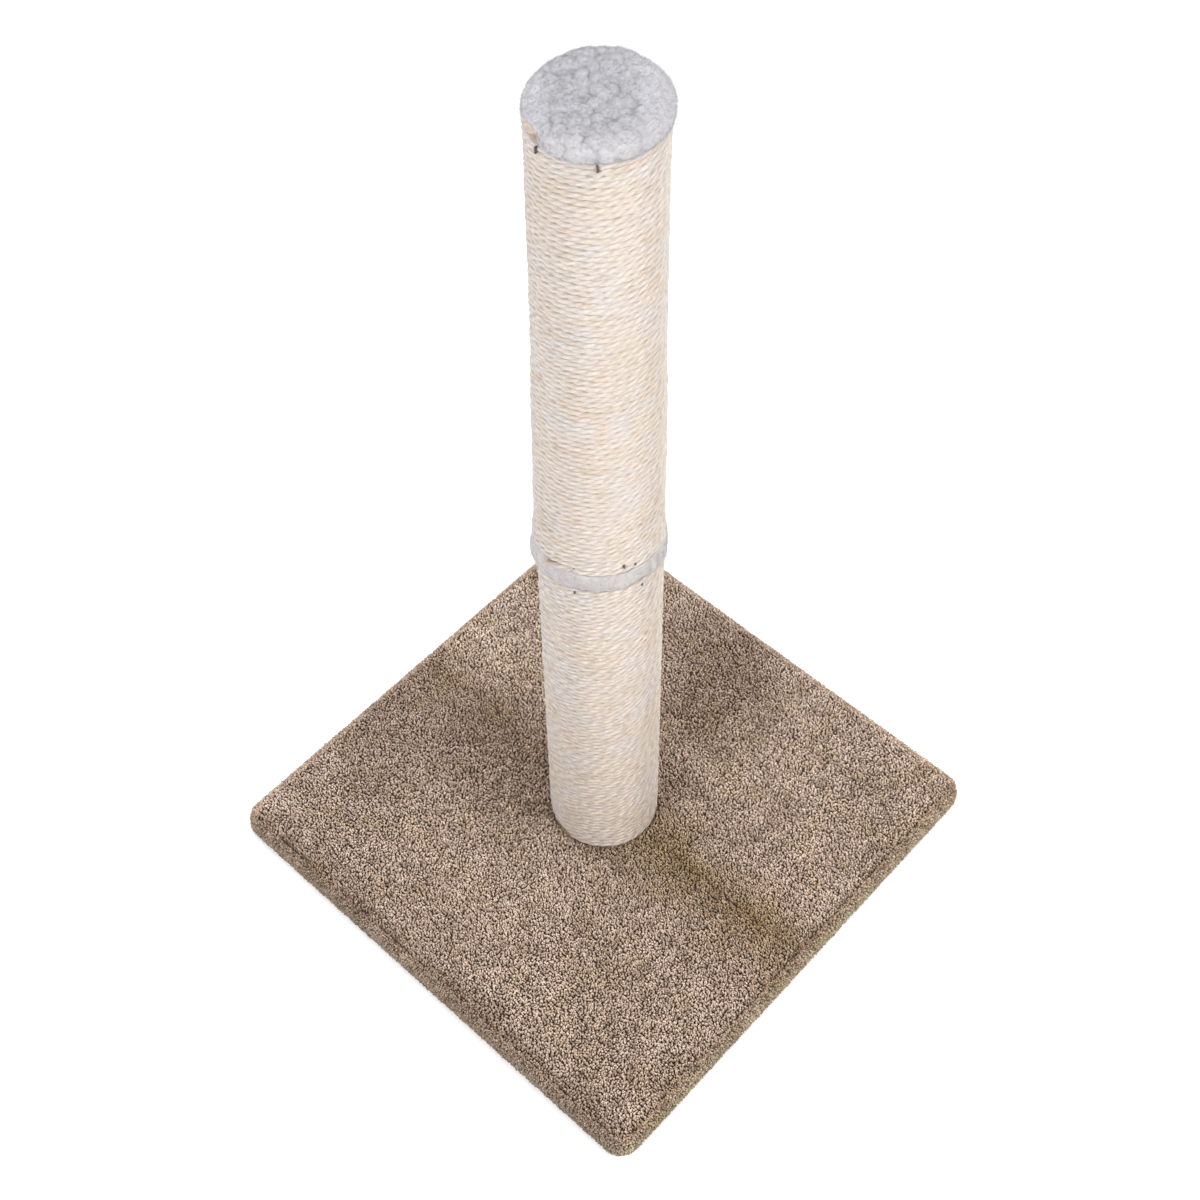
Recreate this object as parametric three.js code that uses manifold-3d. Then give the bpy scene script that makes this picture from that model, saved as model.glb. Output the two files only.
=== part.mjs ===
// Two-section scratching post on a square carpeted base.
//
// Units are millimetres, +Z is up. The origin is at the centre of the base's underside, and the
// base's sides run along X and Y. The object is assembled from a carpeted board, a bolt from
// below, two rope-wound paperboard tubes with wooden end plugs, and a stud that joins the tubes.

import * as THREE from 'three';
import { mergeVertices } from 'three/addons/utils/BufferGeometryUtils.js';
import Module from 'manifold-3d';

const wasm = await Module();
wasm.setup();

// ---------- driving dimensions ----------

const GAP = 0.3;                // clearance between neighbouring pieces

// base
const BASE_SIDE = 400;          // carpeted base, side to side
const BASE_CORNER = 16;         // corner radius in plan, over the carpet
const BASE_TOP = 17.6;          // top of the pile
const CARPET_T = 5.0;           // carpet with its backing, on top and on the sides
const FOLD_R = 5.0;             // rounding of the carpet where it folds over an edge
const HEM_T = 2.5;              // carpet pressed flat under the board
const HEM_W = 42;               // width of the hem under the board
const BOARD_T = 9.5;            // board
const POST_SINK = 2.0;          // how far the post presses into the pile
const BORE_R = 4.3;             // clearance hole for the M8 hardware

// post
const TUBE_R = 37.4;            // outside radius of both paperboard tubes
const TUBE_WALL = 4;
const ROPE_R = 41.9;            // outside radius over the rope
const PLUG_T = 18;              // end plugs
const LOWER_ROPE_TOP = 346.2;   // where the lower winding stops, under the plush band
const JOINT_Z = 364.2;          // top of the plush over the lower section
const UPPER_ROPE_TOP = 723.0;   // where the upper winding stops, under the plush cap
const PLUSH_TURN = 12.5;        // plush that runs on under the lower winding
const CAP_TURN = 22;            // plush that runs on under the upper winding
const BACKING_T = 1.0;          // thickness of plush held under rope
const CAP_TOP = 733.5;          // crown of the top cap

// hardware
const M8_R = 3.9;
const NUT_R = 5.2;              // tee nut barrel
const NUT_BORE = 4.2;
const NUT_FLANGE_R = 10;
const NUT_FLANGE_T = 1.5;
const HEAD_R = 8.5;
const HEAD_T = 2.4;
const SOCKET_AF = 5;            // hex socket, across flats
const SOCKET_DEPTH = 1.5;
const WASHER_R = 12;
const WASHER_T = 1.5;

// staples
const HEM_STAPLE = { crown: 10, leg: 8, width: 1.2, wire: 0.7 };
const ROPE_STAPLE = { crown: 5.8, leg: 6.2, width: 1.2, wire: 0.8 };

const ROUND = 48;               // sides of a full turn on the large round pieces
const ROUND_SMALL = 24;

// ---------- materials ----------

const looks = {
  carpet: { color: 0x9a8672, roughness: 0.95, metalness: 0 },
  rope: { color: 0xe6dcc8, roughness: 0.85, metalness: 0 },
  plush: { color: 0xcfcfd4, roughness: 0.95, metalness: 0 },
  board: { color: 0xb08f66, roughness: 0.8, metalness: 0 },
  paperboard: { color: 0xa98d69, roughness: 0.9, metalness: 0 },
  plug: { color: 0xb99a70, roughness: 0.8, metalness: 0 },
  steel: { color: 0xb9bbbe, roughness: 0.35, metalness: 1 },
};

// ---------- geometry helpers ----------

// A closed mesh as a manifold-3d solid, with its faces pointing out.
function solid(geometry) {
  let g = geometry.clone();
  for (const name of Object.keys(g.attributes)) if (name !== 'position') g.deleteAttribute(name);
  g = mergeVertices(g, 1e-4);
  const p = g.attributes.position;
  const source = g.index.array;
  const tris = [];
  let volume = 0;
  const a = new THREE.Vector3(), b = new THREE.Vector3(), c = new THREE.Vector3();
  for (let i = 0; i < source.length; i += 3) {
    const [i0, i1, i2] = [source[i], source[i + 1], source[i + 2]];
    if (i0 === i1 || i1 === i2 || i2 === i0) continue;
    a.fromBufferAttribute(p, i0);
    b.fromBufferAttribute(p, i1);
    c.fromBufferAttribute(p, i2);
    volume += a.dot(b.cross(c)) / 6;
    tris.push(i0, i1, i2);
  }
  if (volume < 0) for (let i = 0; i < tris.length; i += 3) [tris[i + 1], tris[i + 2]] = [tris[i + 2], tris[i + 1]];
  return new wasm.Manifold(new wasm.Mesh({
    numProp: 3,
    vertProperties: new Float32Array(p.array),
    triVerts: new Uint32Array(tris),
  }));
}

function geometryOf(body) {
  const mesh = body.getMesh();
  const g = new THREE.BufferGeometry();
  g.setAttribute('position', new THREE.BufferAttribute(new Float32Array(mesh.vertProperties), 3));
  g.setIndex(new THREE.BufferAttribute(new Uint32Array(mesh.triVerts), 1));
  g.computeVertexNormals();
  return g;
}

// A profile of [radius, height] points turned about Z. Profiles start and end on the axis,
// or close on themselves.
function turned(points, sides = ROUND) {
  const g = new THREE.LatheGeometry(points.map(([r, z]) => new THREE.Vector2(r, z)), sides);
  g.rotateX(Math.PI / 2);
  return g;
}

function turnedRing(points, sides = ROUND) {
  return turned([...points, points[0]], sides);
}

function disc(radius, z0, z1, sides = ROUND_SMALL) {
  return turned([[0, z0], [radius, z0], [radius, z1], [0, z1]], sides);
}

function roundedSquare(half, radius) {
  const s = new THREE.Shape();
  s.moveTo(half - radius, -half);
  s.absarc(half - radius, -half + radius, radius, -Math.PI / 2, 0, false);
  s.absarc(half - radius, half - radius, radius, 0, Math.PI / 2, false);
  s.absarc(-half + radius, half - radius, radius, Math.PI / 2, Math.PI, false);
  s.absarc(-half + radius, -half + radius, radius, Math.PI, 1.5 * Math.PI, false);
  s.closePath();
  return s;
}

// A rounded-square slab from z0 to z1, with its top and bottom edges rounded when edge > 0.
function slab(half, radius, z0, z1, edge = 0) {
  const g = new THREE.ExtrudeGeometry(roundedSquare(half, radius), {
    depth: z1 - z0 - 2 * edge,
    curveSegments: 6,
    bevelEnabled: edge > 0,
    bevelThickness: edge,
    bevelSize: edge,
    bevelOffset: -edge,
    bevelSegments: 3,
  });
  g.translate(0, 0, z0 + edge);
  return g;
}

// A staple: crown along local X, legs along local +Y, wire width along local Z.
function stapleGeometry({ crown, leg, width, wire }) {
  const h = crown / 2;
  const s = new THREE.Shape([
    new THREE.Vector2(-h, 0), new THREE.Vector2(h, 0), new THREE.Vector2(h, leg),
    new THREE.Vector2(h - wire, leg), new THREE.Vector2(h - wire, wire),
    new THREE.Vector2(-h + wire, wire), new THREE.Vector2(-h + wire, leg), new THREE.Vector2(-h, leg),
  ]);
  const g = new THREE.ExtrudeGeometry(s, { depth: width, bevelEnabled: false });
  g.translate(0, 0, -width / 2);
  return g;
}

// The room that a staple needs in what it is driven into, open outwards past its crown.
function stapleRoom({ crown, leg, width, wire }, out) {
  const g = 0.25;
  const pocket = new THREE.BoxGeometry(crown + 2 * g, out + wire + g, width + 2 * g);
  pocket.translate(0, (wire + g - out) / 2, 0);
  const boxes = [pocket];
  for (const side of [-1, 1]) {
    const channel = new THREE.BoxGeometry(wire + 2 * g, leg + g, width + 2 * g);
    channel.translate(side * (crown - wire) / 2, (leg + g) / 2, 0);
    boxes.push(channel);
  }
  return boxes;
}

function cut(body, geometries) {
  let result = body;
  for (const g of geometries) result = result.subtract(solid(g));
  return result;
}

function placed(geometry, matrix) {
  const g = geometry.clone();
  g.applyMatrix4(matrix);
  return g;
}

// ---------- where the staples go ----------

// Hem staples: four to a side, crown along the side, driven up into the board.
const hemStaples = [];
for (let side = 0; side < 4; side++) {
  for (const along of [-150, -50, 50, 150]) {
    const turn = new THREE.Matrix4().makeRotationZ(side * Math.PI / 2);
    const stand = new THREE.Matrix4().makeBasis(
      new THREE.Vector3(0, 1, 0), new THREE.Vector3(0, 0, 1), new THREE.Vector3(1, 0, 0));
    const at = new THREE.Matrix4().makeTranslation(BASE_SIDE / 2 - CARPET_T - HEM_W / 2, along, 0.5);
    hemStaples.push(turn.multiply(at).multiply(stand));
  }
}

// Rope end staples: [name, angle about the post in degrees, height], crown upright across the
// last turns, driven through the rope into the tube.
const ropeStaples = [
  ['top_rope_staple_1', -136.4, UPPER_ROPE_TOP - 3.9],
  ['top_rope_staple_2', 172.0, UPPER_ROPE_TOP - 3.9],
  ['joint_rope_staple_1', -162.1, JOINT_Z + GAP + 3.9],
  ['joint_rope_staple_2', -116.4, JOINT_Z + GAP + 6.4],
  ['joint_rope_staple_3', -105.1, JOINT_Z + GAP + 4.2],
  ['joint_rope_staple_4', -97.3, LOWER_ROPE_TOP - 3.9],
  ['joint_rope_staple_5', -162.3, LOWER_ROPE_TOP - 4.6],
  ['foot_rope_staple_1', 40.0, 22.5],
  ['foot_rope_staple_2', 62.0, 22.5],
].map(([name, degrees, z]) => {
  const a = THREE.MathUtils.degToRad(degrees);
  const outward = new THREE.Vector3(Math.cos(a), Math.sin(a), 0);
  const m = new THREE.Matrix4().makeBasis(
    new THREE.Vector3(0, 0, 1), outward.clone().negate(),
    new THREE.Vector3(0, 0, 1).cross(outward.clone().negate()));
  m.setPosition(outward.x * (ROPE_R + 0.05), outward.y * (ROPE_R + 0.05), z);
  return { name, m, z };
});

const hemRoom = hemStaples.flatMap((m) => stapleRoom(HEM_STAPLE, 4).map((g) => placed(g, m)));
const ropeRoom = (low, high) => ropeStaples
  .filter(({ z }) => z > low && z < high)
  .flatMap(({ m }) => stapleRoom(ROPE_STAPLE, 4).map((g) => placed(g, m)));

// ---------- heights that follow from the dimensions ----------

const boardLow = HEM_T + GAP;
const boardHigh = boardLow + BOARD_T;
const sheetLow = boardHigh + GAP;
const seatZ = BASE_TOP - POST_SINK;                    // where the post stands
const lowerEnd = JOINT_Z - 3.2 - GAP;                  // top of the lower tube
const upperEnd = JOINT_Z + GAP;                        // bottom of the upper tube
const tubeTop = UPPER_ROPE_TOP + 0.9;                  // top of the upper tube
const washerLow = boardLow + 1.1;
const counterbore = washerLow + WASHER_T + GAP;
const headHigh = washerLow - GAP;
const headLow = headHigh - HEAD_T;
const lowerPlugHigh = seatZ + PLUG_T;
const plugR = TUBE_R - TUBE_WALL - 0.4;

// ---------- the pieces ----------

const half = BASE_SIDE / 2;

const baseCarpet = cut(solid(slab(half, BASE_CORNER, 0, BASE_TOP, FOLD_R)), [
  slab(half - CARPET_T, BASE_CORNER - CARPET_T, HEM_T, sheetLow),
  slab(half - CARPET_T - HEM_W, 6, -1, HEM_T + 1),
  disc(BORE_R, sheetLow - 1, BASE_TOP + 1),
  disc(ROPE_R + 0.5, seatZ - GAP, BASE_TOP + 1, ROUND),
  ...hemRoom,
]);

const baseBoard = cut(solid(slab(half - CARPET_T - GAP, BASE_CORNER - CARPET_T - GAP, boardLow, boardHigh)), [
  disc(BORE_R, boardLow - 1, boardHigh + 1),
  disc(WASHER_R + 1, boardLow - 1, counterbore, 36),
  ...hemRoom,
]);

const socket = new THREE.CylinderGeometry(SOCKET_AF / Math.sqrt(3), SOCKET_AF / Math.sqrt(3), SOCKET_DEPTH + 1, 6);
socket.rotateX(Math.PI / 2);
socket.translate(0, 0, headLow + SOCKET_DEPTH - (SOCKET_DEPTH + 1) / 2);
const baseBolt = cut(solid(turned([
  [0, headLow], [HEAD_R - 0.6, headLow], [HEAD_R, headLow + 0.7], [HEAD_R, headHigh],
  [M8_R, headHigh], [M8_R, lowerPlugHigh + 1], [M8_R - 0.8, lowerPlugHigh + 2], [0, lowerPlugHigh + 2],
], 36)), [socket]);

const baseWasher = turnedRing([
  [BORE_R, washerLow], [WASHER_R, washerLow], [WASHER_R, washerLow + WASHER_T], [BORE_R, washerLow + WASHER_T],
], 36);

function tube(z0, z1) {
  return turnedRing([[TUBE_R - TUBE_WALL, z0], [TUBE_R, z0], [TUBE_R, z1], [TUBE_R - TUBE_WALL, z1]]);
}
const lowerTube = cut(solid(tube(seatZ, lowerEnd)), ropeRoom(0, JOINT_Z));
const upperTube = cut(solid(tube(upperEnd, tubeTop)), ropeRoom(JOINT_Z, 800));

function boredPlug(z0) {
  return turnedRing([[NUT_R + GAP, z0], [plugR, z0], [plugR, z0 + PLUG_T], [NUT_R + GAP, z0 + PLUG_T]], 40);
}
const lowerBottomPlug = boredPlug(seatZ);
const lowerTopPlug = boredPlug(lowerEnd - PLUG_T);
const upperBottomPlug = boredPlug(upperEnd);
const upperTopPlug = disc(plugR, tubeTop - PLUG_T, tubeTop, 40);

// A tee nut: its flange lies on the plug's inner face and its barrel runs back through the plug.
function teeNut(face, direction) {
  const s = direction;
  const p = [
    [NUT_BORE, face + s * (GAP + NUT_FLANGE_T)], [NUT_FLANGE_R, face + s * (GAP + NUT_FLANGE_T)],
    [NUT_FLANGE_R, face + s * GAP], [NUT_R, face + s * GAP],
    [NUT_R, face - s * 13], [NUT_BORE, face - s * 13],
  ];
  return turnedRing(p, ROUND_SMALL);
}
const lowerBottomNut = teeNut(lowerPlugHigh, 1);
const lowerTopNut = teeNut(lowerEnd - PLUG_T, -1);
const upperBottomNut = teeNut(upperEnd + PLUG_T, 1);

const studLow = JOINT_Z - 30;
const studHigh = JOINT_Z + 30;
const jointStud = turned([
  [0, studLow], [M8_R - 0.8, studLow], [M8_R, studLow + 0.8],
  [M8_R, studHigh - 0.8], [M8_R - 0.8, studHigh], [0, studHigh],
], ROUND_SMALL);

const skirtR = TUBE_R + GAP;
const lowerPlushCap = cut(solid(turnedRing([
  [BORE_R, lowerEnd + GAP], [skirtR, lowerEnd + GAP], [skirtR, LOWER_ROPE_TOP - PLUSH_TURN],
  [skirtR + BACKING_T, LOWER_ROPE_TOP - PLUSH_TURN], [skirtR + BACKING_T, LOWER_ROPE_TOP + GAP],
  [ROPE_R - 0.6, LOWER_ROPE_TOP + GAP], [ROPE_R + 0.6, LOWER_ROPE_TOP + 2.4], [ROPE_R + 1.1, LOWER_ROPE_TOP + 6],
  [ROPE_R + 1.2, LOWER_ROPE_TOP + 10], [ROPE_R + 0.8, JOINT_Z - 3], [ROPE_R - 0.3, JOINT_Z - 0.6],
  [ROPE_R - 2.2, JOINT_Z], [BORE_R, JOINT_Z],
])), ropeRoom(0, JOINT_Z));

const upperPlushCap = cut(solid(turned([
  [0, tubeTop + GAP], [skirtR, tubeTop + GAP], [skirtR, UPPER_ROPE_TOP - CAP_TURN],
  [skirtR + BACKING_T, UPPER_ROPE_TOP - CAP_TURN], [skirtR + BACKING_T, UPPER_ROPE_TOP + GAP],
  [ROPE_R, UPPER_ROPE_TOP + GAP], [ROPE_R + 1.3, UPPER_ROPE_TOP + 1.8], [ROPE_R + 1.7, UPPER_ROPE_TOP + 4.3],
  [ROPE_R + 1.0, UPPER_ROPE_TOP + 7], [ROPE_R - 1.4, UPPER_ROPE_TOP + 9.2], [ROPE_R - 6.5, UPPER_ROPE_TOP + 10.2],
  [0, CAP_TOP],
])), ropeRoom(JOINT_Z + 100, 800));

// The winding's outer shape, thinner inside where it lies over plush.
function sleeve(z0, z1, under) {
  return turnedRing([
    [skirtR, z0], [ROPE_R, z0], [ROPE_R, z1], [skirtR + BACKING_T + GAP, z1],
    [skirtR + BACKING_T + GAP, z1 - under - GAP], [skirtR, z1 - under - GAP],
  ]);
}
const lowerRope = cut(solid(sleeve(seatZ, LOWER_ROPE_TOP, PLUSH_TURN)), ropeRoom(0, JOINT_Z));
const upperRope = cut(solid(sleeve(upperEnd, UPPER_ROPE_TOP, CAP_TURN)), ropeRoom(JOINT_Z, 800));

// ---------- the scene graph ----------

function piece(group, name, shape, look) {
  const geometry = geometryOf(shape.isBufferGeometry ? solid(shape) : shape);
  const mesh = new THREE.Mesh(geometry, new THREE.MeshStandardMaterial(looks[look]));
  mesh.name = name;
  group.add(mesh);
  return mesh;
}

const base = new THREE.Group();
piece(base, 'base_board', baseBoard, 'board');
piece(base, 'base_carpet', baseCarpet, 'carpet');
piece(base, 'base_bolt', baseBolt, 'steel');
piece(base, 'base_washer', baseWasher, 'steel');
hemStaples.forEach((m, i) => {
  const name = `hem_staple_${String(i + 1).padStart(2, '0')}`;
  piece(base, name, placed(stapleGeometry(HEM_STAPLE), m), 'steel');
});

const lowerPost = new THREE.Group();
piece(lowerPost, 'lower_tube', lowerTube, 'paperboard');
piece(lowerPost, 'lower_bottom_plug', lowerBottomPlug, 'plug');
piece(lowerPost, 'lower_top_plug', lowerTopPlug, 'plug');
piece(lowerPost, 'lower_bottom_tee_nut', lowerBottomNut, 'steel');
piece(lowerPost, 'lower_top_tee_nut', lowerTopNut, 'steel');
piece(lowerPost, 'lower_plush_cap', lowerPlushCap, 'plush');
piece(lowerPost, 'lower_sisal_rope', lowerRope, 'rope');

const upperPost = new THREE.Group();
piece(upperPost, 'upper_tube', upperTube, 'paperboard');
piece(upperPost, 'upper_bottom_plug', upperBottomPlug, 'plug');
piece(upperPost, 'upper_top_plug', upperTopPlug, 'plug');
piece(upperPost, 'upper_bottom_tee_nut', upperBottomNut, 'steel');
piece(upperPost, 'joint_stud', jointStud, 'steel');
piece(upperPost, 'upper_plush_cap', upperPlushCap, 'plush');
piece(upperPost, 'upper_sisal_rope', upperRope, 'rope');

for (const { name, m, z } of ropeStaples) {
  piece(z < JOINT_Z ? lowerPost : upperPost, name, placed(stapleGeometry(ROPE_STAPLE), m), 'steel');
}

const post = new THREE.Group();
post.add(lowerPost, upperPost);

const object = new THREE.Group();
object.add(base, post);

export default object;
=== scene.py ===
"""Looks of a two-section sisal scratching post on a square carpeted base.

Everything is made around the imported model, in metres and in its frame. Soft pieces replace their plain
solids: the carpet is a folded backing with its pile standing on it tuft by tuft, each rope is one
three-strand rope wound turn by turn, and the two plush caps are turned shells with a curly or short nap.
"""

import math

import bpy
import numpy as np
from mathutils import Matrix, Vector


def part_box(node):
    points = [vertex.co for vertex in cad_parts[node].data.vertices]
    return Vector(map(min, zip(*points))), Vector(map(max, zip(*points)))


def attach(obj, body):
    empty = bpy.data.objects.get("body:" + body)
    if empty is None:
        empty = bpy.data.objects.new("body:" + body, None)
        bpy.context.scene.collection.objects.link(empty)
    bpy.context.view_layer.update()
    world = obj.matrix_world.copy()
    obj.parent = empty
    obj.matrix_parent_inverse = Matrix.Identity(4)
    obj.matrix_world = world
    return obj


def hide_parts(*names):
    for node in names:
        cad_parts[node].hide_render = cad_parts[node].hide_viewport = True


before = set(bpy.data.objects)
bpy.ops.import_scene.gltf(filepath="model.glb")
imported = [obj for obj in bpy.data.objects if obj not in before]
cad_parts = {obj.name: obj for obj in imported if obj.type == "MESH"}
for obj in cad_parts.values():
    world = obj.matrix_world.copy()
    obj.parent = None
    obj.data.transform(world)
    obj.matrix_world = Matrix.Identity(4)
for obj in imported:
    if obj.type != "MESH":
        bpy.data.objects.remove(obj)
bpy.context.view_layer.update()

MM = 0.001
TAU = 2 * math.pi


# ------------------------------------------------------------------ small tools

def srgb(r, g, b):
    """8-bit screen colour to the linear numbers that shaders use."""
    c = np.array([r, g, b], float) / 255
    return np.where(c <= 0.04045, c / 12.92, ((c + 0.055) / 1.055) ** 2.4)


def smooth(x, a=0.0, b=1.0):
    t = np.clip((x - a) / (b - a), 0, 1)
    return t * t * (3 - 2 * t)


def _hash(i, j, k, seed):
    h = (
        i.astype(np.uint64) * np.uint64(73856093)
        ^ j.astype(np.uint64) * np.uint64(19349663)
        ^ k.astype(np.uint64) * np.uint64(83492791)
        ^ np.uint64(seed * 2654435761 + 12345)
    ) & np.uint64(0xFFFFFFFF)
    h = ((h ^ (h >> np.uint64(15))) * np.uint64(2246822519)) & np.uint64(0xFFFFFFFF)
    h = ((h ^ (h >> np.uint64(13))) * np.uint64(3266489917)) & np.uint64(0xFFFFFFFF)
    h = h ^ (h >> np.uint64(16))
    return h.astype(np.float64) / float(0xFFFFFFFF)


def noise(p, seed=0):
    """Smooth noise from -1 to 1 at points p (N, 3)."""
    p = np.asarray(p, float) + 1000.0
    f = np.floor(p)
    u = p - f
    i = f.astype(np.int64)
    u = u * u * u * (u * (u * 6 - 15) + 10)
    out = np.zeros(len(p))
    for dx in (0, 1):
        for dy in (0, 1):
            for dz in (0, 1):
                w = (
                    (u[:, 0] if dx else 1 - u[:, 0])
                    * (u[:, 1] if dy else 1 - u[:, 1])
                    * (u[:, 2] if dz else 1 - u[:, 2])
                )
                out += w * _hash(i[:, 0] + dx, i[:, 1] + dy, i[:, 2] + dz, seed)
    return out * 2 - 1


def fbm(p, seed=0, octaves=3):
    p = np.asarray(p, float)
    total, size, amp = np.zeros(len(p)), 0.0, 1.0
    for o in range(octaves):
        total += amp * noise(p * 2.03**o, seed + 17 * o)
        size += amp
        amp *= 0.5
    return total / size


def xyz(x, y, z):
    return np.stack(np.broadcast_arrays(x, y, z), -1).astype(float)


def rings_quads(n, m, closed_n=False, closed_m=True, offset=0):
    """Quads of a grid of n rings with m points each."""
    i = np.arange(n if closed_n else n - 1)[:, None]
    j = np.arange(m if closed_m else m - 1)[None, :]
    a = i * m + j
    b = i * m + (j + 1) % m
    c = ((i + 1) % n) * m + (j + 1) % m
    d = ((i + 1) % n) * m + j
    return np.stack([a, b, c, d], -1).reshape(-1, 4) + offset


def make_piece(name, verts, faces, material, colour=None, fibre=None, bake_uv=None, smooth_shading=True):
    """A mesh piece from arrays. faces is a list of (M, k) arrays. colour (N, 3) and fibre (N, 3) are stored per
    point; bake_uv (loops, 2) is laid over the piece as its own flat map."""
    me = bpy.data.meshes.new(name)
    verts = np.asarray(verts, np.float32)
    faces = [np.asarray(f, np.int32) for f in faces if len(f)]
    loops = np.concatenate([f.ravel() for f in faces])
    counts = np.concatenate([np.full(len(f), f.shape[1], np.int32) for f in faces])
    starts = np.concatenate([[0], np.cumsum(counts)[:-1]]).astype(np.int32)
    me.vertices.add(len(verts))
    me.vertices.foreach_set("co", verts.ravel())
    me.loops.add(len(loops))
    me.loops.foreach_set("vertex_index", loops)
    me.polygons.add(len(counts))
    me.polygons.foreach_set("loop_start", starts)
    me.update(calc_edges=True)
    if smooth_shading:
        me.polygons.foreach_set("use_smooth", np.ones(len(counts), bool))
    if colour is not None:
        att = me.color_attributes.new(name="Col", type="FLOAT_COLOR", domain="POINT")
        rgba = np.ones((len(verts), 4), np.float32)
        rgba[:, :3] = colour
        att.data.foreach_set("color", rgba.ravel())
    if fibre is not None:
        att = me.attributes.new(name="Fibre", type="FLOAT_VECTOR", domain="POINT")
        att.data.foreach_set("vector", np.asarray(fibre, np.float32).ravel())
    if bake_uv is not None:
        uv = bake_uv(verts, loops, starts, counts) if callable(bake_uv) else bake_uv
        layer = me.uv_layers.new(name="OFBake")
        layer.uv.foreach_set("vector", np.asarray(uv, np.float32).ravel())
    me.materials.append(material)
    ob = bpy.data.objects.new(name, me)
    bpy.context.scene.collection.objects.link(ob)
    return ob


def finish_piece(ob, slot, *replaced):
    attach(ob, "root")
    if replaced:
        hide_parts(*replaced)
    return ob


# ------------------------------------------------------------------ materials

class Nodes:
    """Short hand for building a material's node tree."""

    def __init__(self, name):
        self.mat = bpy.data.materials.new(name)
        self.mat.use_nodes = True
        self.nt = self.mat.node_tree
        self.bsdf = self.nt.nodes["Principled BSDF"]

    def node(self, kind, **settings):
        n = self.nt.nodes.new(kind)
        for k, v in settings.items():
            setattr(n, k, v)
        return n

    def link(self, a, b):
        self.nt.links.new(a, b)

    def attribute(self, name):
        return self.node("ShaderNodeAttribute", attribute_name=name)

    def mapping(self, source, scale):
        n = self.node("ShaderNodeMapping")
        n.inputs["Scale"].default_value = scale
        self.link(source, n.inputs["Vector"])
        return n.outputs["Vector"]

    def noise(self, vector, scale, detail=3.0, roughness=0.55):
        n = self.node("ShaderNodeTexNoise")
        n.inputs["Scale"].default_value = scale
        n.inputs["Detail"].default_value = detail
        n.inputs["Roughness"].default_value = roughness
        if vector is not None:
            self.link(vector, n.inputs["Vector"])
        return n

    def ramp(self, value, stops):
        n = self.node("ShaderNodeValToRGB")
        e = n.color_ramp.elements
        while len(e) < len(stops):
            e.new(0.5)
        for el, (at, c) in zip(e, stops):
            el.position = at
            el.color = (*c, 1) if len(c) == 3 else c
        self.link(value, n.inputs["Fac"])
        return n.outputs["Color"]

    def mix(self, kind, factor, a, b):
        n = self.node("ShaderNodeMix", data_type="RGBA", blend_type=kind)
        for value, socket in ((factor, n.inputs[0]), (a, n.inputs[6]), (b, n.inputs[7])):
            if hasattr(value, "default_value") or hasattr(value, "links"):
                self.link(value, socket)
            elif isinstance(value, (int, float)):
                socket.default_value = value
            else:
                socket.default_value = (*value, 1)
        return n.outputs[2]

    def bump(self, height, strength, distance, normal=None):
        n = self.node("ShaderNodeBump")
        n.inputs["Strength"].default_value = strength
        n.inputs["Distance"].default_value = distance
        self.link(height, n.inputs["Height"])
        if normal is not None:
            self.link(normal, n.inputs["Normal"])
        return n.outputs["Normal"]

    def range(self, value, low, high):
        n = self.node("ShaderNodeMapRange")
        n.inputs["To Min"].default_value = low
        n.inputs["To Max"].default_value = high
        self.link(value, n.inputs["Value"])
        return n.outputs["Result"]

    def set(self, **values):
        for k, v in values.items():
            self.bsdf.inputs[k.replace("_", " ")].default_value = v


def sisal_material():
    n = Nodes("sisal_rope")
    col = n.attribute("Col").outputs["Color"]
    fib = n.attribute("Fibre").outputs["Vector"]
    fine = n.noise(n.mapping(fib, (0.55, 7.0, 7.0)), 1.0, 4.0, 0.6)
    streak = n.noise(n.mapping(fib, (0.16, 3.2, 3.2)), 1.0, 2.0, 0.5)
    shade = n.ramp(fine.outputs["Fac"], [(0.30, (0.72, 0.69, 0.64)), (0.52, (1, 1, 1)), (0.75, (1.0, 0.99, 0.96))])
    tint = n.ramp(streak.outputs["Fac"], [(0.36, (0.93, 0.88, 0.78)), (0.55, (1, 1, 1))])
    c = n.mix("MULTIPLY", 0.75, col, shade)
    c = n.mix("MULTIPLY", 0.6, c, tint)
    n.link(c, n.bsdf.inputs["Base Color"])
    n.link(n.range(streak.outputs["Fac"], 0.66, 0.86), n.bsdf.inputs["Roughness"])
    n.link(n.bump(fine.outputs["Fac"], 0.55, 0.00035), n.bsdf.inputs["Normal"])
    n.set(Specular_IOR_Level=0.35, Sheen_Weight=0.12, Sheen_Roughness=0.5)
    return n.mat


def fibre_material(name, rough, sheen=0.1):
    n = Nodes(name)
    col = n.attribute("Col").outputs["Color"]
    tex = n.noise(n.node("ShaderNodeTexCoord").outputs["Object"], 420.0, 2.0)
    c = n.mix("MULTIPLY", 0.5, col, n.ramp(tex.outputs["Fac"], [(0.35, (0.82, 0.80, 0.76)), (0.6, (1, 1, 1))]))
    n.link(c, n.bsdf.inputs["Base Color"])
    n.set(Roughness=rough, Specular_IOR_Level=0.3, Sheen_Weight=sheen)
    return n.mat


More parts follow.
